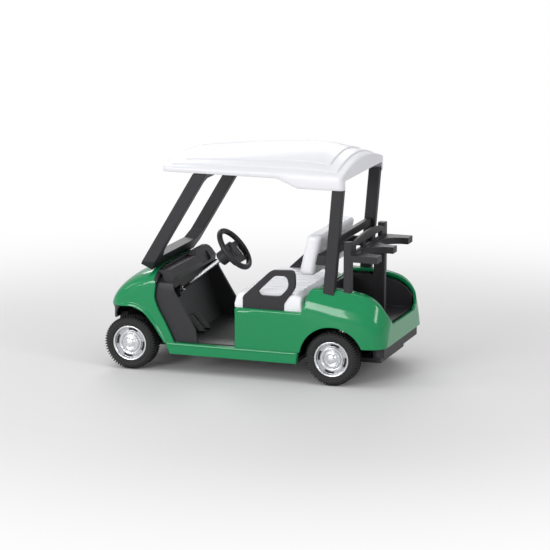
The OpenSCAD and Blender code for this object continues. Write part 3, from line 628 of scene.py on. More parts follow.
def cowl_low_share(q):
    """Section share where the cowl ends above the arch or the bumper."""
    def above(share):
        x, y, z = cowl_point(q, share)
        dx = x - FRONT_X
        arch = float(smooth_through(ARCH_X, ARCH_Z, dx)) if dx < ARCH_X[-1] else ARCH_Z[-1]
        apron = NOSE_Z + (ARCH_Z[-1] - NOSE_Z) * np.clip((y - APRON) / APRON_SLANT, 0, 1)
        return z - (arch if dx < ARCH_X[-1] else min(arch, apron))
    return solve(-4, 1, above)


def cowl_mesh(lip):
    """Outside of the cowl: columns from the arch edge to the rear edge and the centre line."""
    last = len(COWL_STATIONS) - 1
    arch_q, edge_q, edge_s = [], [], []
    for arch_dx, dx, z, share in COWL_EDGES:
        arch_q.append(last if arch_dx is None else cowl_station(arch_dx))
        q = last if dx is None else cowl_station(dx)
        edge_q.append(q)
        edge_s.append(share if share is not None else solve(-4, 1, lambda s: cowl_point(q, s)[2] - z))
    keys = range(len(COWL_EDGES))
    columns = []
    for c in np.concatenate([np.linspace(0, keys[-2], 81), np.linspace(keys[-2], keys[-1], 25)[1:]]):
        q0, q1, s1 = [float(smooth_through(keys, values, c)) for values in (arch_q, edge_q, edge_s)]
        s0 = cowl_low_share(q0)
        path = [cowl_point(q0 + (q1 - q0) * t, s0 + (s1 - s0) * t) for t in np.linspace(0, 1, 90)]
        rows = path_rows(path, LIP_ROWS, 34)
        points, _ = spaced(path, rows)
        reach = 1 - float(soft_step(points[0][0] - FRONT_X, 4, 9))
        points[:len(LIP_ROWS), 1] += np.array(LIP_RAISE) * lip * reach
        columns.append(points)
    return both_sides(columns)


class CART_OT_front_cowl(bpy.types.Operator):
    """Builds the front cowl with its arch lips"""

    bl_idname = "cart.front_cowl"
    bl_label = "Front cowl"

    def execute(self, context):
        sizes = context.scene.cart_sizes
        cowl = made("cowl_panel", *cowl_mesh(sizes.lip / MM))
        walled(cowl, sizes.wall, PANEL_EDGE * MM)
        dressed(cowl, "green_enamel", nodes=["front_cowl"], sharp=50)
        return {"FINISHED"}


# Rear body: distance from the axle, side inset, crease height, top height and share of the fender's lean
REAR_STATIONS = np.array([
    (52.2, 0, 35.7, 36.4, 0), (22, 0, 35.7, 36.4, 0), (17.4, -0.15, 35.7, 36.4, 0),
    (16.6, -0.2, 36, 36.7, 0.1), (16, -0.25, 37, 37.8, 0.25), (15.2, -0.3, 39.2, 40.2, 0.5),
    (14.4, -0.35, 41.4, 42.6, 0.75), (13.8, -0.4, 42.5, 44.4, 0.9), (13.2, -0.42, 42.8, 46.3, 1),
    (12.6, -0.45, 42.8, 47.7, 1), (11.4, -0.5, 42.6, 48.3, 1), (8, -0.6, 42, 48.4, 1),
    (-1, -0.6, 40.4, 48.4, 1), (-9, -0.6, 39, 47.5, 1), (-16, -0.4, 37.4, 45.8, 1),
    (-21, 0.6, 34.4, 42.8, 1), (-25, 3.2, 30, 38, 1), (-27, 7, 25.4, 33, 1)])
BOX_CORNER = 1.6
BOX_ROUND = 0.7
# Fender's section at full lean: drop from the crease to the end of the wall and to the bend, then
# how far the bend, the crease and the top lie in, and the slope from crease to top
FENDER_DROP = (11, 3.4)
FENDER_IN = (0.6, 1.8, 1.9)
FENDER_SLOPE = 0.5
FENDER_SOFT = 3
REAR_ARCH_R = 17.4
REAR_ARCH_Z = AXLE_Z - 0.9
WELL_Z = 30
# Side outline of the rim between seat box and well, the rounding of its corners and half its span
RIM_TOP, RIM_FOOT, RIM_WALL = 46.2, BOX_Z - 1.6, 1.8
DECK_RIM = (
    (STEP_X - 0.2, RIM_FOOT), (STEP_X - 2.8, BOX_Z + 6.7), (STEP_X - 3.6, RIM_TOP), (WELL_X, RIM_TOP),
    (WELL_X, WELL_Z - 1), (WELL_X + RIM_WALL, WELL_Z - 1), (WELL_X + RIM_WALL, RIM_FOOT))
DECK_RIM_ROUND = (0.2, 1.5, 0.6, 0.6, 0.2, 0.2, 0.2)
DECK_RIM_HALF = WELL_EDGE + 0.4


def rear_side_path(dx, low):
    """Side of the rear body from its lower edge over the crease to the edge of the well or cushion."""
    keys = -REAR_STATIONS[:, 0]
    inset, crease, top, lean = [
        float(smooth_through(keys, REAR_STATIONS[:, k], -dx)) for k in (1, 2, 3, 4)]
    width = HALF_W - inset
    inner = max(WELL_EDGE, HALF_W - (BOX_X - REAR_X - dx))
    bend_y, crease_y, top_y = [width - inward * lean for inward in FENDER_IN]
    edge = top_y - FENDER_SLOPE * (top - crease)
    wall = max(low + 0.4, crease - FENDER_DROP[0] * lean - 0.6)
    bend = max(low + 0.8, crease - FENDER_DROP[1] * lean - 0.3)
    corners = [(width, low), (width, wall), (bend_y, bend), (crease_y, crease), (edge, top),
               (min(inner, edge - 0.9), top)]
    soft = (FENDER_SOFT * lean, FENDER_SOFT * lean, 0.6, 1.5)
    outline = [np.array(corners[0])]
    for k in (1, 2, 3, 4):
        before, here, after = [np.array(c) for c in corners[k - 1:k + 2]]
        reach = [min(soft[k - 1] + 0.02, 0.45 * np.linalg.norm(v - here)) for v in (before, after)]
        start = here + (before - here) / max(np.linalg.norm(before - here), 1e-6) * reach[0]
        end = here + (after - here) / max(np.linalg.norm(after - here), 1e-6) * reach[1]
        outline += corner_curve(start, here, end, 8)
    outline.append(np.array(corners[5]))
    return np.array([(REAR_X + dx, y, z) for y, z in outline])


def rear_mesh():
    """Outside of the rear body: seat box, fenders and tail, as columns from the lower edge up."""
    corner, ledge, turn = BOX_CORNER, HALF_W - WELL_EDGE, BOX_ROUND
    paths = []
    wall = [(SILL_TOP + (BOX_Z - turn - SILL_TOP) * t, 0) for t in np.linspace(0, 1, 24)]
    bend = [(BOX_Z - turn + turn * math.sin(a), turn - turn * math.cos(a))
            for a in np.linspace(0.2, math.pi / 2, 6)]
    for y in np.linspace(0, HALF_W - corner, 16)[:-1]:
        reach = min(ledge, HALF_W - y)
        over = [(BOX_Z, turn + (reach - turn) * t) for t in np.linspace(0.05, 1, 12)]
        paths.append(np.array([(BOX_X - d, y, z) for z, d in wall + bend + over]))
    over = [(BOX_Z, turn + (corner - turn) * t) for t in np.linspace(0.05, 1, 12)]
    for a in np.linspace(0, math.pi / 2, 8)[:-1]:
        middle = np.array((BOX_X - corner, HALF_W - corner))
        out = np.array((math.cos(a), math.sin(a)))
        paths.append(np.array([(*(middle + out * (corner - d)), z) for z, d in wall + bend + over]))
    first = math.asin((SILL_TOP - REAR_ARCH_Z) / REAR_ARCH_R)
    last = math.pi - math.asin((TAIL_Z - REAR_ARCH_Z) / REAR_ARCH_R)
    arch_x = REAR_ARCH_R * math.cos(first)
    for dx in np.linspace(BOX_X - corner - REAR_X, arch_x, 18)[:-1]:
        paths.append(rear_side_path(dx, SILL_TOP))
    for a in np.linspace(first, last, 64):
        paths.append(rear_side_path(REAR_ARCH_R * math.cos(a), REAR_ARCH_Z + REAR_ARCH_R * math.sin(a)))
    for dx in np.linspace(REAR_ARCH_R * math.cos(last), TAIL_X - REAR_X, 20)[1:]:
        paths.append(rear_side_path(dx, TAIL_Z))
    tail = paths[-1]
    for t in np.linspace(0, 1, 14)[1:]:
        flat = np.linspace(TAIL_Z, WELL_Z, len(tail))
        y = tail[:, 1] * (1 - t)
        z = tail[:, 2] + (flat - tail[:, 2]) * min(1, 6 * t)
        paths.append(np.stack([np.full(len(tail), TAIL_X), y, z], 1))
    return both_sides([spaced(p, path_rows(p, (0, 0.4, 1), 64))[0] for p in paths])


class CART_OT_rear_body(bpy.types.Operator):
    """Builds the seat box, fenders, deck rim and tail"""

    bl_idname = "cart.rear_body"
    bl_label = "Rear body"

    def execute(self, context):
        sizes = context.scene.cart_sizes
        shell = made("rear_panel", *rear_mesh())
        walled(shell, sizes.wall, PANEL_EDGE * MM)
        side = rounded(DECK_RIM, DECK_RIM_ROUND)
        loops = [at_y(side, y) for y in np.linspace(-DECK_RIM_HALF, DECK_RIM_HALF, 12)]
        rim = made("deck_rim", *lofted(loops))
        body = joined("rear_body_panel", [shell, rim])
        dressed(body, "green_enamel", nodes=["rear_body"], sharp=50)
        return {"FINISHED"}


BEAD_IN = (1.2, 1.2)
# Section of the bead on a rocker's upper edge: outwards from the face, up from the top
BEAD = ((-0.6, -1.5), (0, -1.5), (0.16, -1.25), (0.24, -0.95), (0.22, -0.7), (0.14, -0.42),
        (0, -0.18), (-0.25, -0.02), (-0.6, -0.02))
ROCKER_EDGE = 0.6


def bead_mesh(side):
    """A low bead along the upper edge of a rocker panel."""
    loops = []
    for x in np.linspace(ROCKER_LOW[0] + BEAD_IN[0], ROCKER_HIGH[0] - BEAD_IN[1], 30):
        end = min(x - ROCKER_LOW[0] - BEAD_IN[0], ROCKER_HIGH[0] - BEAD_IN[1] - x)
        full = 0.3 + 0.7 * float(soft_step(end, 0, 1.2))
        section = [(full * y if y > 0 else y, z) for y, z in BEAD]
        loops.append(np.array([
            (x, side * (ROCKER_HIGH[1] + y), ROCKER_HIGH[2] + z) for y, z in section]))
    return lofted(loops)


class CART_OT_rockers(bpy.types.Operator):
    """Eases the edges of the rocker panels and adds the beads along them"""

    bl_idname = "cart.rockers"
    bl_label = "Rocker panels"

    def execute(self, context):
        for side in ("left", "right"):
            panel = eased_copy(side + "_rocker", side + "_rocker_shell", ROCKER_EDGE * MM, segments=4)
            bead = made("bead", *bead_mesh(1 if side == "left" else -1))
            panel = joined(side + "_rocker_panel", [panel, bead])
            dressed(panel, "green_enamel", nodes=[side + "_rocker"])
        return {"FINISHED"}


# Roof: share of the length from the front, share of the crown
ROOF_STATIONS = np.array([
    (0, 0.3), (0.06, 0.42), (0.16, 0.57), (0.3, 0.72), (0.45, 0.86), (0.6, 0.96), (0.7, 1),
    (0.79, 0.97), (0.87, 0.84), (0.94, 0.66), (1, 0.46)])
ROOF_Z = 104
ROOF_EDGE = 2.6
ROOF_CROWN = 11
ROOF_DROP = 4.5
ROOF_WALL = 2
ROOF_STEPS = (4.2, 9.6)
ROOF_CORNER = 2.2
ROOF_FALL = 0.5
# Cut-up rear corner: where it starts from the rear axle, and its length
ROOF_CUT = (30, 11)
# Rows of the roof's mesh in from an end and in from a side, close together at each step
ROOF_ENDS = (0, 0.15, 0.5, 1, 1.9, 2, 2.4, 3.2, 3.85, 3.95, 4.1, 4.25, 4.35, 5, 6.5, 8.6, 9.25, 9.35,
             9.5, 9.65, 9.75, 11)
ROOF_SIDES = (0, 0.12, 0.45, 1, 2, 3.2, 3.85, 3.95, 4.1, 4.25, 4.35, 5, 6.5, 8.4, 9.25, 9.35, 9.5, 9.65,
              9.75, 11, 13, 16, 20, 24, 28, 31.5)


def roof_low(x):
    """Lower edge of the roof's sides."""
    return ROOF_Z - ROOF_DROP * float(np.clip((REAR_X + ROOF_CUT[0] - x) / ROOF_CUT[1], 0, 1))


def roof_loops(step):
    """Closed sections of the roof from front to rear: skirts, stepped top and ceiling."""
    front, rear, half = ROOF_HIGH[0], ROOF_LOW[0], ROOF_HIGH[1]
    edge_x = np.array(ROOF_ENDS)
    middle = np.linspace(13, front - rear - 13, 36)
    drop = np.array([front - REAR_X - ROOF_CUT[0] + d for d in (-0.3, 0.3, 10.7, 11.3)])
    along = np.sort(np.concatenate([edge_x, middle, drop, front - rear - edge_x]))
    loops = []
    for d in along:
        x = front - d
        share = d / (front - rear)
        crown = ROOF_CROWN * float(smooth_through(ROOF_STATIONS[:, 0], ROOF_STATIONS[:, 1], share))
        end = min(d, front - rear - d)
        width = half - round_in(ROOF_CORNER, end)

        def top(inset):
            f = (width - inset) / half
            from_edge = min(inset, end)
            rise = sum(step * float(soft_step(from_edge, e - 0.3, e + 0.1)) for e in ROOF_STEPS)
            bend = ROOF_FALL * (round_in(1, inset) + round_in(1, end))
            lower = 2 * step * float(soft_step(end, 0, 14)) * (1 - f * f)
            return ROOF_Z + ROOF_EDGE + crown * (1 - f * f) + rise - lower - bend

        low = roof_low(x)
        outer = [(width - i, top(i)) for i in ROOF_SIDES]
        right = [(-y, z) for y, z in reversed(outer)]
        inner_y = width - ROOF_WALL
        across = np.linspace(-inner_y, inner_y, 25)
        if end < ROOF_WALL:
            ceiling = [(y, ROOF_Z + (0.02 if abs(y) < inner_y else 0)) for y in across]
        else:
            ceiling = [(y, top(width - abs(y)) - ROOF_WALL - 0.3 * (abs(y) > inner_y - 0.5))
                       for y in across]
        skirt = [(width, low + 0.3), (width, low + 1.5)]
        loop = [(inner_y, low), (width - 0.3, low)] + skirt + outer + right
        loop += [(-y, z) for y, z in reversed(skirt)] + [(0.3 - width, low), (-inner_y, low)] + ceiling
        loops.append(np.array([(x, y, z) for y, z in loop]))
    return loops


class CART_OT_roof(bpy.types.Operator):
    """Builds the roof with its stepped crown"""

    bl_idname = "cart.roof"
    bl_label = "Roof"

    def execute(self, context):
        step = context.scene.cart_sizes.roof_step / MM
        roof = made("roof_panel", *lofted(roof_loops(step)))
        dressed(roof, "white_moulding", nodes=["roof"], sharp=50)
        return {"FINISHED"}


# Seats
CUSHION_W = 67
CUSHION_R = 2.4
CUSHION_CHANNELS = 9
PAD_CHANNELS = 5
CHANNEL_HALF = 0.3
PAD_LEAN = 4.2
PAD_R = 2.8


def cushion_mesh(depth):
    """Hard moulded cushion: rounded side outline drawn along Y, with fore and aft channels on top."""
    front, rear, half = BOX_X + 0.8, STEP_X - 0.2, CUSHION_W / 2
    low, top = BOX_Z, BOX_Z + 8.2
    outline = rounded([(rear, low), (front - 0.6, low), (front, low + 2.4), (front - 1, top - 2),
                       (front - 3.4, top), (rear + 4, top + 0.6), (rear + 0.6, top - 1.4)],
                      (0.4, 0.8, 3, 2.5, 3, 2.5, 1.5))
    outline = refined(outline, 1.6)
    normal = outline_normals(outline)
    on_top = soft_step(normal[:, 1], 0.75, 0.95) * soft_step(outline[:, 0], rear + 3, rear + 4.5)
    on_top *= 1 - soft_step(outline[:, 0], front - 4, front - 2.2)
    grooves = np.array([
        -half + 4 + (CUSHION_W - 8) * i / CUSHION_CHANNELS for i in range(1, CUSHION_CHANNELS)])
    across = [g + d for g in grooves for d in (-0.9, -0.5, -0.28, -0.12, 0, 0.12, 0.28, 0.5, 0.9)]
    across += [s * (half - d) for s in (-1, 1) for d in (0, 0.06, 0.25, 0.6, 1.1, 1.8, 2.6, 3.4)]
    across += list(grooves[:-1] + (grooves[1] - grooves[0]) / 2)
    loops = []
    for y in sorted(across):
        draw = round_in(CUSHION_R, half - abs(y))
        groove = depth * float(np.max(np.exp(-((y - grooves) / CHANNEL_HALF) ** 2)))
        loop = outline - normal * draw * soft_step(normal[:, 1:2], -0.5, 0.7)
        loop[:, 1] = np.maximum(loop[:, 1], low) - groove * on_top
        loops.append(at_y(loop, y))
    return lofted(loops)


def pad_mesh(depth, side):
    """Hard moulded seat back pad with cross channels on its front."""
    low, high = box_mm(side + "_seat_back")
    (rear, y0, z0), (front, y1, z1), lean = low, high, PAD_LEAN
    thick = front - rear - lean
    outline = rounded([(front, z0 + 1.2), (front - lean, z1 - 1.5), (front - lean - 1.6, z1),
                       (rear + 1.2, z1), (rear, z1 - 1.4), (front - thick, z0 + 1.2),
                       (front - thick + 0.8, z0), (front - 1.2, z0)],
                      (2.2, 3, 2.4, 1.6, 1.4, 1.2, 1, 1.8))
    outline = refined(outline, 0.32)
    normal = outline_normals(outline)
    middle = (z0 + z1) / 2
    rows = np.array([z0 + (z1 - z0) * i / (PAD_CHANNELS + 1) for i in range(1, PAD_CHANNELS + 1)])
    groove = np.max(np.exp(-((outline[:, 1:2] - rows) / CHANNEL_HALF) ** 2), 1)
    groove = groove * soft_step(normal[:, 0], 0.6, 0.9)
    centre = front - thick / 2 - lean * (outline[:, 1] - z0) / (z1 - z0)
    loops = []
    ends = (0, 0.05, 0.2, 0.5, 1, 1.6, 2.2, 2.8, 3.6, 4.6)
    across = sorted(
        [y0 + d for d in ends] + [y1 - d for d in ends] + list(np.linspace(y0 + 6, y1 - 6, 10)))
    for y in across:
        end = min(y - y0, y1 - y)
        draw = round_in(PAD_R, end)
        loop = outline - normal * (depth * groove * float(soft_step(end, 2.4, 4)))[:, None]
        loop[:, 0] = centre + (loop[:, 0] - centre) * (1 - draw / (thick / 2))
        loop[:, 1] = middle + (loop[:, 1] - middle) * (1 - draw / (z1 - middle))
        loop[:, 0] -= lean * (loop[:, 1] - outline[:, 1]) / (z1 - z0)
        loops.append(at_y(loop, y))
    return lofted(loops)


# Side outlines of a hip restraint and of its opening from its front foot, with the rounding of
# each corner
HIP_OUTLINE = ((0, -2), (0, 6), (-15.3, 20.4), (-27.8, 21.2), (-27.9, 11.7), (-22.1, 3.4), (-22.1, -2))
HIP_ROUND = (0.1, 3, 6, 3.4, 7, 4, 0.1)
HIP_HOLE = ((-7.8, 8.6), (-17, 17.7), (-23.8, 17.8), (-24.7, 12.3), (-20, 7), (-9.3, 6.8))
HIP_HOLE_ROUND = (1.6, 5, 3, 5, 5, 2.5)
HIP_GROW = 0.05
HIP_EDGE = 0.55


def hip_slab(points, radii, side, inner, outer, grow=0, foot=None):
    """A slab with a restraint's side outline between two distances from the middle."""
    low, high = box_mm("left_hip_restraint")
    outline = rounded([(high[0] + x, low[2] + z) for x, z in points], radii)
    outline = outline + outline_normals(outline) * grow
    if foot is not None:
        outline[:, 1] = np.maximum(outline[:, 1], foot)
    return lofted([at_y(outline, side * y) for y in (inner, outer)])


def hip_prism(side):
    """Room that a hip restraint takes in the cushion's side."""
    low, _ = box_mm("left_hip_restraint")
    return hip_slab(HIP_OUTLINE, HIP_ROUND, side, low[1] - HIP_GROW, HALF_W + 4, HIP_GROW)


def hip_restraint(name, side):
    """A hip restraint: a slab with rounded corners and one opening, its edges eased."""
    low, high = box_mm("left_hip_restraint")
    slab = made(name, *hip_slab(HIP_OUTLINE, HIP_ROUND, side, low[1], high[1], foot=low[2]))
    hole = hip_slab(HIP_HOLE, HIP_HOLE_ROUND, side, low[1] - 1, high[1] + 1)
    cut_away(slab, made("hip_hole", *hole))
    return eased(slab, HIP_EDGE * MM)


def cut_away(obj, cutter):
    """Cuts one object out of another and removes the cutter."""
    cut = obj.modifiers.new("cut", "BOOLEAN")
    cut.operation = "DIFFERENCE"
    cut.solver = "EXACT"
    cut.object = cutter
    evaluated(obj)
    old = cutter.data
    bpy.data.objects.remove(cutter)
    bpy.data.meshes.remove(old)
    return obj


class CART_OT_seats(bpy.types.Operator):
    """Builds the moulded cushion and the two seat back pads"""

    bl_idname = "cart.seats"
    bl_label = "Seats"

    def execute(self, context):
        depth = context.scene.cart_sizes.channel / MM
        cushion = made("seat_moulding", *cushion_mesh(depth))
        for side in (1, -1):
            cut_away(cushion, made("hip_recess", *hip_prism(side)))
        # The cushion takes the paler seat white, painted light against the roof's shade
        dressed(cushion, "white_seat", nodes=["seat_cushion"], sharp=50)
        for side in ("left", "right"):
            name = side + "_back_moulding"
            pad = made(name, *pad_mesh(depth, side))
            # The back pads take the paler seat white, painted light against the roof's shade
            dressed(pad, "white_seat", nodes=[side + "_seat_back"], sharp=50)
        return {"FINISHED"}


# Trim with eased edges: node, edge radius in millimetres
TRIM = (
    ("screen_frame", 0.55), ("left_rear_post", 0.5), ("right_rear_post", 0.5), ("rear_cross_bar", 0.5),
    ("bulkhead", 0.3), ("seat_back_rail", 0.4), ("bag_well", 0.4), ("bag_rack", 0.4),
    ("bag_divider", 0.4), ("rear_bumper", 0.6), ("chassis_pan", 0.3), ("front_beam", 0.2),
    ("floor", 0.2))


# Door in the glove box: places from the side, below the screen's foot, and its span
GLOVE_DOOR = ((41.3, -0.7), (42, -0.7), (40.1, -5.3), (39.4, -5.3))
GLOVE_Y = (-22.95, -10.05)
# Black finisher on the cowl's rear edge and lining inside its front: stations from the axle,
# distance from the outside and span on the section
FINISHER = (-15.2, -13.4), 0.15, (0.3, 1)
LINING = (3, 13.6), -1.6, (-0.28, 0.3)
FINISHER_WALL = 2.2
LINING_WALL = 0.8
STRIP_EDGE = 0.15
# Backing of the slit over the front bumper: from the axle, from the apron's edge, half its span
BACKING_X = (11.6, 12.8)
BACKING_Z = (-2.8, 2.7)
BACKING_SPAN = 24.5


def cowl_strip(stations, rise, shares):
    """Both halves of a strip that follows the cowl at a distance from its outside."""
    first, last = cowl_station(stations[0]), cowl_station(stations[1])
    columns = []
    for share in np.linspace(shares[0], shares[1], 36):
        column = []
        for q in np.linspace(first, last, 6):
            along = cowl_point(q + 0.02, share) - cowl_point(q - 0.02, share)
            up = cowl_point(q, min(share + 0.01, 1)) - cowl_point(q, share - 0.01)
            normal = np.cross(up, along)
            column.append(cowl_point(q, share) + normal / np.linalg.norm(normal) * rise)
        columns.append(np.array(column))
    return both_sides(columns)


def apron_backing():
    """A narrow plate behind the apron that closes the slit over the front bumper."""
    (x0, x1), (z0, z1) = BACKING_X, BACKING_Z
    side = rounded([(x0, z0), (x1, z0), (x1, z1), (x0, z1)], (0.3,) * 4) + (FRONT_X, NOSE_Z)
    return lofted([at_y(side, y) for y in np.linspace(-BACKING_SPAN, BACKING_SPAN, 9)])


DASH_EDGE = 0.45
BUMPER_EDGE = 0.5
# Ribs on the front bumper: how many, their size and the space over and under them
BUMPER_RIBS = 4
BUMPER_RIB = (1.1, 34, 0.9)
BUMPER_MARGIN = 1.6


class CART_OT_trim(bpy.types.Operator):
    """Eases the edges of the black frames, trays and rails and ribs the front bumper"""

    bl_idname = "cart.trim"
    bl_label = "Black trim"

    def execute(self, context):
        for node, radius in TRIM:
            piece = eased_copy(node, node + "_trim", radius * MM)
            dressed(piece, "black_satin", nodes=[node])
        for node, side in (("left_hip_restraint", 1), ("right_hip_restraint", -1)):
            dressed(hip_restraint(node + "_trim", side), "black_satin", nodes=[node])
        finisher = made("finisher", *cowl_strip(*FINISHER))
        walled(finisher, FINISHER_WALL * MM, STRIP_EDGE * MM)
        door = [np.array([(x, y, COWL_H + z) for x, z in GLOVE_DOOR]) for y in np.linspace(*GLOVE_Y, 5)]
        block = eased_copy("dash", "dash_block", DASH_EDGE * MM)
        dash = joined("dash_trim", [block, finisher, made("door", *lofted(door))])
        dressed(dash, "black_satin", nodes=["dash"])
        bumper = eased_copy("front_bumper", "bumper_block", BUMPER_EDGE * MM)
        low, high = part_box("front_bumper")
        pitch = (high.z - low.z - 2 * BUMPER_MARGIN * MM) / (BUMPER_RIBS - 1)
        ribs = grown("bumper_ribs", rib_row_tree(), {
            "Count": BUMPER_RIBS, "First": (high.x, 0, low.z + BUMPER_MARGIN * MM),
            "Step": (0, 0, pitch), "Rib": tuple(size * MM for size in BUMPER_RIB),
            "Tilt": (0, math.pi / 2, 0), "Finish": finish("black_satin")})
        lining = made("lining", *cowl_strip(*LINING))
        walled(lining, LINING_WALL * MM, STRIP_EDGE * MM)
        backing = made("backing", *apron_backing())
        bumper = joined("front_bumper_trim", [bumper, ribs, lining, backing])
        dressed(bumper, "black_satin", nodes=["front_bumper"])
        return {"FINISHED"}


# Floor mat: space before the first rib and beside the ribs, then a rib's width and height
MAT_MARGIN = 1.2
MAT_SIDE = 1.5
MAT_RIB = 0.5
# Pedals: tilt, edge, place of the foot and the face, then number, start, pitch and size of ribs
PEDAL_TILT = 41
PEDAL_EDGE = 0.2
PEDAL_FOOT = 1.5
PEDAL_FACE = 0.75
PEDAL_RIBS = 7
PEDAL_START = 2.4
PEDAL_PITCH = 1.2
PEDAL_RIB = (0.55, 0.5)
PEDAL_SIDE = 0.45


class CART_OT_footwell(bpy.types.Operator):
    """Builds the ribbed floor mat and the ribbed pedals"""

    bl_idname = "cart.footwell"
    bl_label = "Footwell"

    def execute(self, context):
        black = finish("black_satin")
        row = rib_row_tree()
        low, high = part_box("floor")
        count = context.scene.cart_sizes.floor_ribs
        pitch = (high.x - low.x - 2 * MAT_MARGIN * MM) / (count - 1)
        mat = grown("floor_mat", row, {
            "Count": count, "First": (low.x + MAT_MARGIN * MM, 0, high.z), "Step": (pitch, 0, 0),
            "Rib": (MAT_RIB * MM, high.y - low.y - 2 * MAT_SIDE * MM, MAT_RIB * MM), "Finish": black})
        dressed(mat, "black_satin")
        for node in ("brake_pedal", "accelerator_pedal"):
            pad = eased_copy(node, node + "_pad", PEDAL_EDGE * MM)
            low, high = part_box(node)
            tilt = math.radians(PEDAL_TILT)
            foot = Vector((low.x + PEDAL_FOOT * MM, (low.y + high.y) / 2, low.z))
            along = Vector((math.sin(tilt), 0, math.cos(tilt)))
            face = Vector((-math.cos(tilt), 0, math.sin(tilt))) * PEDAL_FACE * MM
            ribs = grown(node + "_ribs", row, {
                "Count": PEDAL_RIBS, "First": tuple(foot + along * PEDAL_START * MM + face),
                "Step": tuple(along * PEDAL_PITCH * MM),
                "Rib": (PEDAL_RIB[0] * MM, high.y - low.y - 2 * PEDAL_SIDE * MM, PEDAL_RIB[1] * MM),
                "Tilt": (0, tilt - math.pi / 2, 0), "Finish": black})
            dressed(joined(node + "_plate", [pad, ribs]), "black_satin", nodes=[node])
        return {"FINISHED"}


# Wheels: profiles of radius and depth from the outer face, in millimetres
RIM_R = 9.2


def tyre_profile():
    """Half of a tyre's section from the outer bead to the middle of the tread, then its mirror."""
    side = [(RIM_R, 0.95), (RIM_R + 0.25, 0.5), (RIM_R + 0.7, 0.22), (RIM_R + 1.1, 0.3),
            (RIM_R + 1.3, 0.12), (RIM_R + 1.8, 0.02), (RIM_R + 2.4, 0.05), (TYRE_R - 1.9, 0.24),
            (TYRE_R - 1.8, 0.42), (TYRE_R - 1.4, 0.66), (TYRE_R - 1, 1.1), (TYRE_R - 0.72, 1.7),
            (TYRE_R - 0.58, 2.6), (TYRE_R - 0.55, TYRE_W / 2)]
    return side + [(r, TYRE_W - d) for r, d in reversed(side[:-1])]


# Rim face: radius and depth of the dome, two beads, the slotted ring and the lip
RIM_FACE = np.array([
    (0, 0.5), (1.2, 0.62), (2.2, 1.0), (2.75, 1.6), (2.95, 1.75), (3.2, 1.45), (3.5, 1.22),
    (3.8, 1.3), (4.05, 1.7), (4.3, 1.95), (4.8, 1.98), (5.05, 1.7), (5.35, 1.4), (5.7, 1.36),
    (5.95, 1.6), (6.15, 2.2), (6.4, 2.42), (7.0, 2.42), (7.75, 2.42), (7.95, 2.2), (8.05, 1.4),
    (8.2, 0.95), (8.5, 0.7), (8.8, 0.66), (9.05, 0.8), (9.17, 1.1)])
# Hub behind the face: radius outside and inside, depth of its front and its back
HUB = (3.2, 1.6, 4.2, 7.2)


def rim_profile():
    """Section of a rim: face from the middle out, then barrel and hub."""
    steps = np.linspace(0, len(RIM_FACE) - 1, 5 * len(RIM_FACE))
    keys = range(len(RIM_FACE))
    face = [(max(float(r), 0.001), float(d)) for r, d in zip(
        smooth_through(keys, RIM_FACE[:, 0], steps), smooth_through(keys, RIM_FACE[:, 1], steps))]
    r = RIM_FACE[-1, 0]
    outside, inside, front, back = HUB
    barrel = [(r, TYRE_W - 1), (r - 1.2, TYRE_W - 1), (r - 1.4, front)]
    return face + barrel + [(outside, front), (outside, back), (inside, back)]


SLOT_IN, SLOT_OUT = 6.45, 7.7
SLOT_HALF = 20
SLOT_TURN = -12
SLOT_DEPTH = (1.2, 3.4)
# Rings in the rim, all painted shade: darker plate over the slotted ring and in the valley between the
# beads, and black behind the slots. Each: radius inside and outside, depth of the front and the back
SHADE_WEB = (6.4, 7.74, 2.39, 2.6)
SHADE_VALLEY = (4.32, 4.8, 1.9, 2.2)
SLOT_SHADE = (SLOT_IN - 0.1, SLOT_OUT + 0.1, 3, 3.3)
# Rows of tyre ribs, the shoulders' first: depth from the outer face, radius, width, height
RIB_ROWS = (
    (2.1, TYRE_R - 1.5, 3, 1.5), (TYRE_W - 2.1, TYRE_R - 1.5, 3, 1.5),
    (TYRE_W / 2 - 1, TYRE_R - 0.8, 1.5, 0.5), (TYRE_W / 2 + 1, TYRE_R - 0.8, 1.5, 0.5))
SHOULDERS = 2
# A rib's thickness times their number, as a share of the tyre's radius
RIB_SHARE = 0.62 * 1.44 * 3
WHEELS = (
    ("front_left", 1, FRONT_X, "front_left_wheel"), ("front_right", -1, FRONT_X, "front_right_wheel"),
    ("rear_left", 1, REAR_X, "rear_wheels"), ("rear_right", -1, REAR_X, "rear_wheels"))


def ring(name, section, at, turned):
    """A ring with a square section."""
    inside, outside, front, back = section
    profile = [(inside, front), (outside, front), (outside, back), (inside, back), (inside, front)]
    return revolved(name, profile, at, turned)


def rim_slots(at, turned):
    """Four arc slots as closed blocks, to be cut from a rim."""
    points, faces = [], []
    (near, far), arcs = SLOT_DEPTH, 15
    section = ((SLOT_IN, near), (SLOT_OUT, near), (SLOT_OUT, far), (SLOT_IN, far))
    for quarter in range(4):
        base = len(points)
        for a in np.radians(np.linspace(-SLOT_HALF, SLOT_HALF, arcs) + 90 * quarter + SLOT_TURN):
            points += [(at[0] - turned * r * math.cos(a), at[1] - turned * d, at[2] + r * math.sin(a))
                       for r, d in section]
        faces += [tuple(base + i for i in f) for f in grid_faces(arcs, 4, closed_rows=True)]
        faces += [tuple(base + end * 4 + i for i in range(4)) for end in (0, arcs - 1)]
    return made("rim_slots", points, faces)


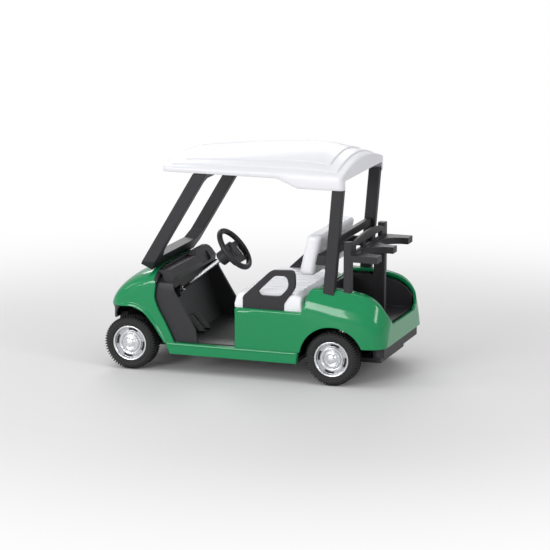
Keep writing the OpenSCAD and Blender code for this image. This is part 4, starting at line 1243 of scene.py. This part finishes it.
class CART_OT_wheels(bpy.types.Operator):
    """Builds the ribbed tyres and the plated rims"""

    bl_idname = "cart.wheels"
    bl_label = "Wheels"

    def execute(self, context):
        rubber = finish("tyre_rubber")
        tree = rib_ring_tree()
        count = context.scene.cart_sizes.lugs
        for corner, turned, x, body in WHEELS:
            at = (x, turned * WHEEL_FACE, AXLE_Z)
            pieces = [revolved(corner + "_carcass", tyre_profile(), at, turned)]
            for row, (depth, radius, wide, tall) in enumerate(RIB_ROWS):
                n = count if row < SHOULDERS else count // 2
                pieces.append(grown(corner + "_ribs%d" % row, tree, {
                    "Count": n, "Radius": radius * MM,
                    "Turn": 0.0 if row < SHOULDERS else math.pi / n * (row % 2),
                    "Offset": (x * MM, (at[1] - turned * depth) * MM, AXLE_Z * MM),
                    "Rib": (RIB_SHARE * TYRE_R / n * MM, wide * MM, tall * MM), "Finish": rubber}))
            tyre = joined(corner + "_tread_tyre", pieces)
            dressed(tyre, "tyre_rubber", body, [corner + "_tyre"], sharp=40)
            rim = revolved(corner + "_plated_rim", rim_profile(), at, turned, 128)
            cut_away(rim, rim_slots(at, turned))
            dressed(rim, "bright_plate", body, [corner + "_rim"], sharp=40)
            # Darker plate over the slotted ring and the valley: painted shade
            web = cut_away(ring("web", SHADE_WEB, at, turned), rim_slots(at, turned))
            web = joined(corner + "_satin_web", [web, ring("valley", SHADE_VALLEY, at, turned)])
            dressed(web, "satin_plate", body, sharp=40)
            # Black ring behind the slots: painted shade inside the holes
            dressed(ring(corner + "_slot_back", SLOT_SHADE, at, turned), "black_satin", body)
        return {"FINISHED"}


LINK_EDGE = 0.12


class CART_OT_running_gear(bpy.types.Operator):
    """Finishes the axle, knuckles and tie rod"""

    bl_idname = "cart.running_gear"
    bl_label = "Running gear"

    def execute(self, context):
        for node, body in (("left_knuckle", "left_steer"), ("right_knuckle", "right_steer"),
                           ("tie_rod", "steer_rod"), ("rear_axle", "rear_wheels")):
            piece = eased_copy(node, node + "_link", LINK_EDGE * MM)
            dressed(piece, "pin_steel", body, [node])
        return {"FINISHED"}


COLUMN_AT = (11, 16, 62.6)
COLUMN_DROP = 38.6
COLUMN_FOOT = 6.5
# Shaft above its foot: start and end of the black neck, its step in radius, edges and the axis
NECK = (7.2, 2.4)
NECK_STEP = 0.25
SHAFT_EDGE = 0.2
AXIS_R = 0.01
STEERING_EDGE = 0.3
# Opening in the cross plate: down and across from the column, and how far it runs along it
OPENING_U = (-1.2, 5.4)
OPENING_V = (5.3, 9.7)
OPENING_N = (-0.6, 4)


def plate_opening(side):
    """Rounded block that opens one end of the steering wheel's cross plate."""
    across, drop = math.cos(math.radians(COLUMN_DROP)), math.sin(math.radians(COLUMN_DROP))
    down, along = np.array((-drop, 0, -across)), np.array((across, 0, -drop))
    (u0, u1), (v0, v1) = OPENING_U, OPENING_V
    outline = rounded([(u0, v0), (u1, v0), (u1, v1), (u0, v1)], (1, 1, 0.3, 0.3))
    return lofted([
        np.array([COLUMN_AT + down * u + along * n + np.array((0, side * v, 0)) for u, v in outline])
        for n in OPENING_N])


def turned_along(name, start, along, profile, segments=40):
    """A body turned about a line: profile of distance along it and radius."""
    side = np.array((0.0, 1.0, 0.0))
    other = np.cross(along, side)
    points = [start + along * d + r * (math.cos(a) * side + math.sin(a) * other)
              for a in np.linspace(0, 2 * math.pi, segments, endpoint=False) for d, r in profile]
    return made(name, points, grid_faces(segments, len(profile), closed_columns=True))


class CART_OT_steering(bpy.types.Operator):
    """Finishes the steering wheel and its plated shaft"""

    bl_idname = "cart.steering"
    bl_label = "Steering"

    def execute(self, context):
        wheel = eased_copy("steering_wheel", "steering_wheel_moulding", STEERING_EDGE * MM)
        for side in (1, -1):
            cut_away(wheel, made("opening", *plate_opening(side)))
        dressed(wheel, "black_satin", "steering", ["steering_wheel"])
        low, high = box_mm("steering_shaft")
        across, rise = math.cos(math.radians(COLUMN_DROP)), math.sin(math.radians(COLUMN_DROP))
        radius = (high[1] - low[1]) / 2
        start = np.array((low[0] + radius * rise, (low[1] + high[1]) / 2, high[2] - radius * across))
        end = np.array((high[0] - radius * rise, start[1], low[2] + radius * across))
        length = np.linalg.norm(end - start)
        foot = length - COLUMN_FOOT
        thin, thick = radius - NECK_STEP, radius + NECK_STEP
        neck_on, neck_off, edge = foot - NECK[0], foot - NECK[1], SHAFT_EDGE
        rod = [(0, AXIS_R), (0, radius), (neck_on, radius), (neck_on + edge, radius - edge),
               (neck_on + edge, AXIS_R)]
        neck = [(neck_on, AXIS_R), (neck_on, thin), (neck_off, thin), (neck_off, AXIS_R)]
        collar = [(neck_off, AXIS_R), (neck_off, radius), (neck_off + edge, thick),
                  (foot - edge, thick), (foot, radius), (length, radius), (length, AXIS_R)]
        for name, profile, look, nodes in (
                ("steering_rod", rod, "bright_plate", ["steering_shaft"]),
                ("steering_neck", neck, "black_satin", []),
                ("steering_collar", collar, "bright_plate", [])):
            piece = turned_along(name, start, (end - start) / length, profile)
            dressed(piece, look, "steering", nodes, sharp=40)
        return {"FINISHED"}


# Lamps: name, place, aim, width, height, power
LAMPS = (
    ("key", (0.38, 1.04, 0.36), (0, 0, 0.04), 0.42, 0.38, 5),
    ("side", (-1.0, 0.35, 0.55), (0, 0, 0.04), 0.25, 0.3, 2.2),
    ("top", (0.1, 0.1, 1.0), (0, 0, 0), 0.5, 0.4, 1.5),
    ("front", (0.95, 0.6, 0.6), (0, 0, 0.05), 0.4, 0.4, 1.5),
    ("back", (0.4, -0.9, 0.6), (0, 0, 0.05), 0.6, 0.4, 3.5),
)


FLOOR_HALF = 6000
PAPER_ROUGHNESS = 0.85
# Metres from the middle over which the floor, as the camera sees it, fades to white
FADE = (0.12, 0.42)
SKY = (0.93, 0.94, 0.96, 1)
SKY_STRENGTH = 0.62


def paper(tint):
    """Matt floor that fades to white further out where the camera sees it."""
    material = bpy.data.materials.new("studio_paper")
    material.use_nodes = True
    tree = material.node_tree
    surface, out = tree.nodes["Principled BSDF"], tree.nodes["Material Output"]
    place, distance, spread, rays, seen, glow, mixed = [tree.nodes.new("ShaderNode" + kind) for kind in (
        "TexCoord", "VectorMath", "MapRange", "LightPath", "Math", "Emission", "MixShader")]
    distance.operation, seen.operation = "LENGTH", "MULTIPLY"
    spread.interpolation_type = "SMOOTHERSTEP"
    preset(surface, {"Base Color": tint, "Roughness": PAPER_ROUGHNESS})
    preset(spread, {"From Min": FADE[0], "From Max": FADE[1]})
    wire(tree, (place, "Object", distance, 0), (distance, "Value", spread, "Value"),
         (spread, "Result", seen, 0), (rays, "Is Camera Ray", seen, 1), (seen, "Value", mixed, "Fac"),
         (surface, "BSDF", mixed, 1), (glow, "Emission", mixed, 2), (mixed, "Shader", out, "Surface"))
    return material


class CART_OT_studio(bpy.types.Operator):
    """Sets the floor, the soft light and the camera"""

    bl_idname = "cart.studio"
    bl_label = "Studio"

    def execute(self, context):
        scene = context.scene
        half = FLOOR_HALF
        corners = [(-half, -half, 0), (half, -half, 0), (half, half, 0), (-half, half, 0)]
        floor = made("studio_floor", corners, [(0, 1, 2, 3)])
        floor.data.materials.append(paper(tuple(scene.cart_colours.floor)))
        world = bpy.data.worlds.new("studio")
        world.use_nodes = True
        preset(world.node_tree.nodes["Background"], {"Color": SKY, "Strength": SKY_STRENGTH})
        scene.world = world
        for name, place, aim, wide, tall, power in LAMPS:
            lamp = bpy.data.lights.new(name, "AREA")
            lamp.shape = "RECTANGLE"
            lamp.size, lamp.size_y, lamp.energy = wide, tall, power
            obj = bpy.data.objects.new(name, lamp)
            scene.collection.objects.link(obj)
            look = (Vector(place) - Vector(aim)).to_track_quat("Z", "Y")
            obj.matrix_world = Matrix.LocRotScale(Vector(place), look, None)
        camera = bpy.data.cameras.new("camera")
        camera.sensor_width = 36
        camera.lens = CAMERA_LENS
        camera.clip_start, camera.clip_end = 0.05, 50
        view = bpy.data.objects.new("camera", camera)
        scene.collection.objects.link(view)
        a, e = math.radians(CAMERA_AZIMUTH), math.radians(CAMERA_ELEVATION)
        back = Vector((-math.sin(a) * math.cos(e), math.cos(a) * math.cos(e), math.sin(e)))
        right = Vector((-math.cos(a), -math.sin(a), 0))
        up = back.cross(right)
        roll = Matrix.Rotation(math.radians(CAMERA_ROLL), 4, "Z")
        turn = Matrix((right, up, back)).transposed().to_4x4() @ roll
        view.matrix_world = Matrix.Translation(Vector(CAMERA_AT) * MM) @ turn
        scene.camera = view
        scene.view_settings.view_transform = "Standard"
        return {"FINISHED"}


class CART_PT_panel(bpy.types.Panel):
    """Shows the cart's sizes and colours and a button for each building step"""

    bl_idname = "CART_PT_panel"
    bl_label = "Golf cart"
    bl_space_type = "VIEW_3D"
    bl_region_type = "UI"
    bl_category = "Golf cart"

    def draw(self, context):
        for group in (context.scene.cart_sizes, context.scene.cart_colours):
            for name in group.__annotations__:
                self.layout.prop(group, name)
        for operator in OPERATORS:
            self.layout.operator(operator.bl_idname)


OPERATORS = (
    CART_OT_studio, CART_OT_front_cowl, CART_OT_rear_body, CART_OT_rockers, CART_OT_roof, CART_OT_seats,
    CART_OT_trim, CART_OT_footwell, CART_OT_wheels, CART_OT_running_gear, CART_OT_steering)
CLASSES = (CartSizes, CartColours) + OPERATORS + (CART_PT_panel,)


def register():
    for cls in CLASSES:
        bpy.utils.register_class(cls)
    bpy.types.Scene.cart_sizes = bpy.props.PointerProperty(type=CartSizes)
    bpy.types.Scene.cart_colours = bpy.props.PointerProperty(type=CartColours)


def unregister():
    del bpy.types.Scene.cart_colours
    del bpy.types.Scene.cart_sizes
    for cls in reversed(CLASSES):
        bpy.utils.unregister_class(cls)


def main():
    register()
    for operator in OPERATORS:
        group, name = operator.bl_idname.split(".")
        getattr(getattr(bpy.ops, group), name)()


if __name__ == "__main__":
    main()
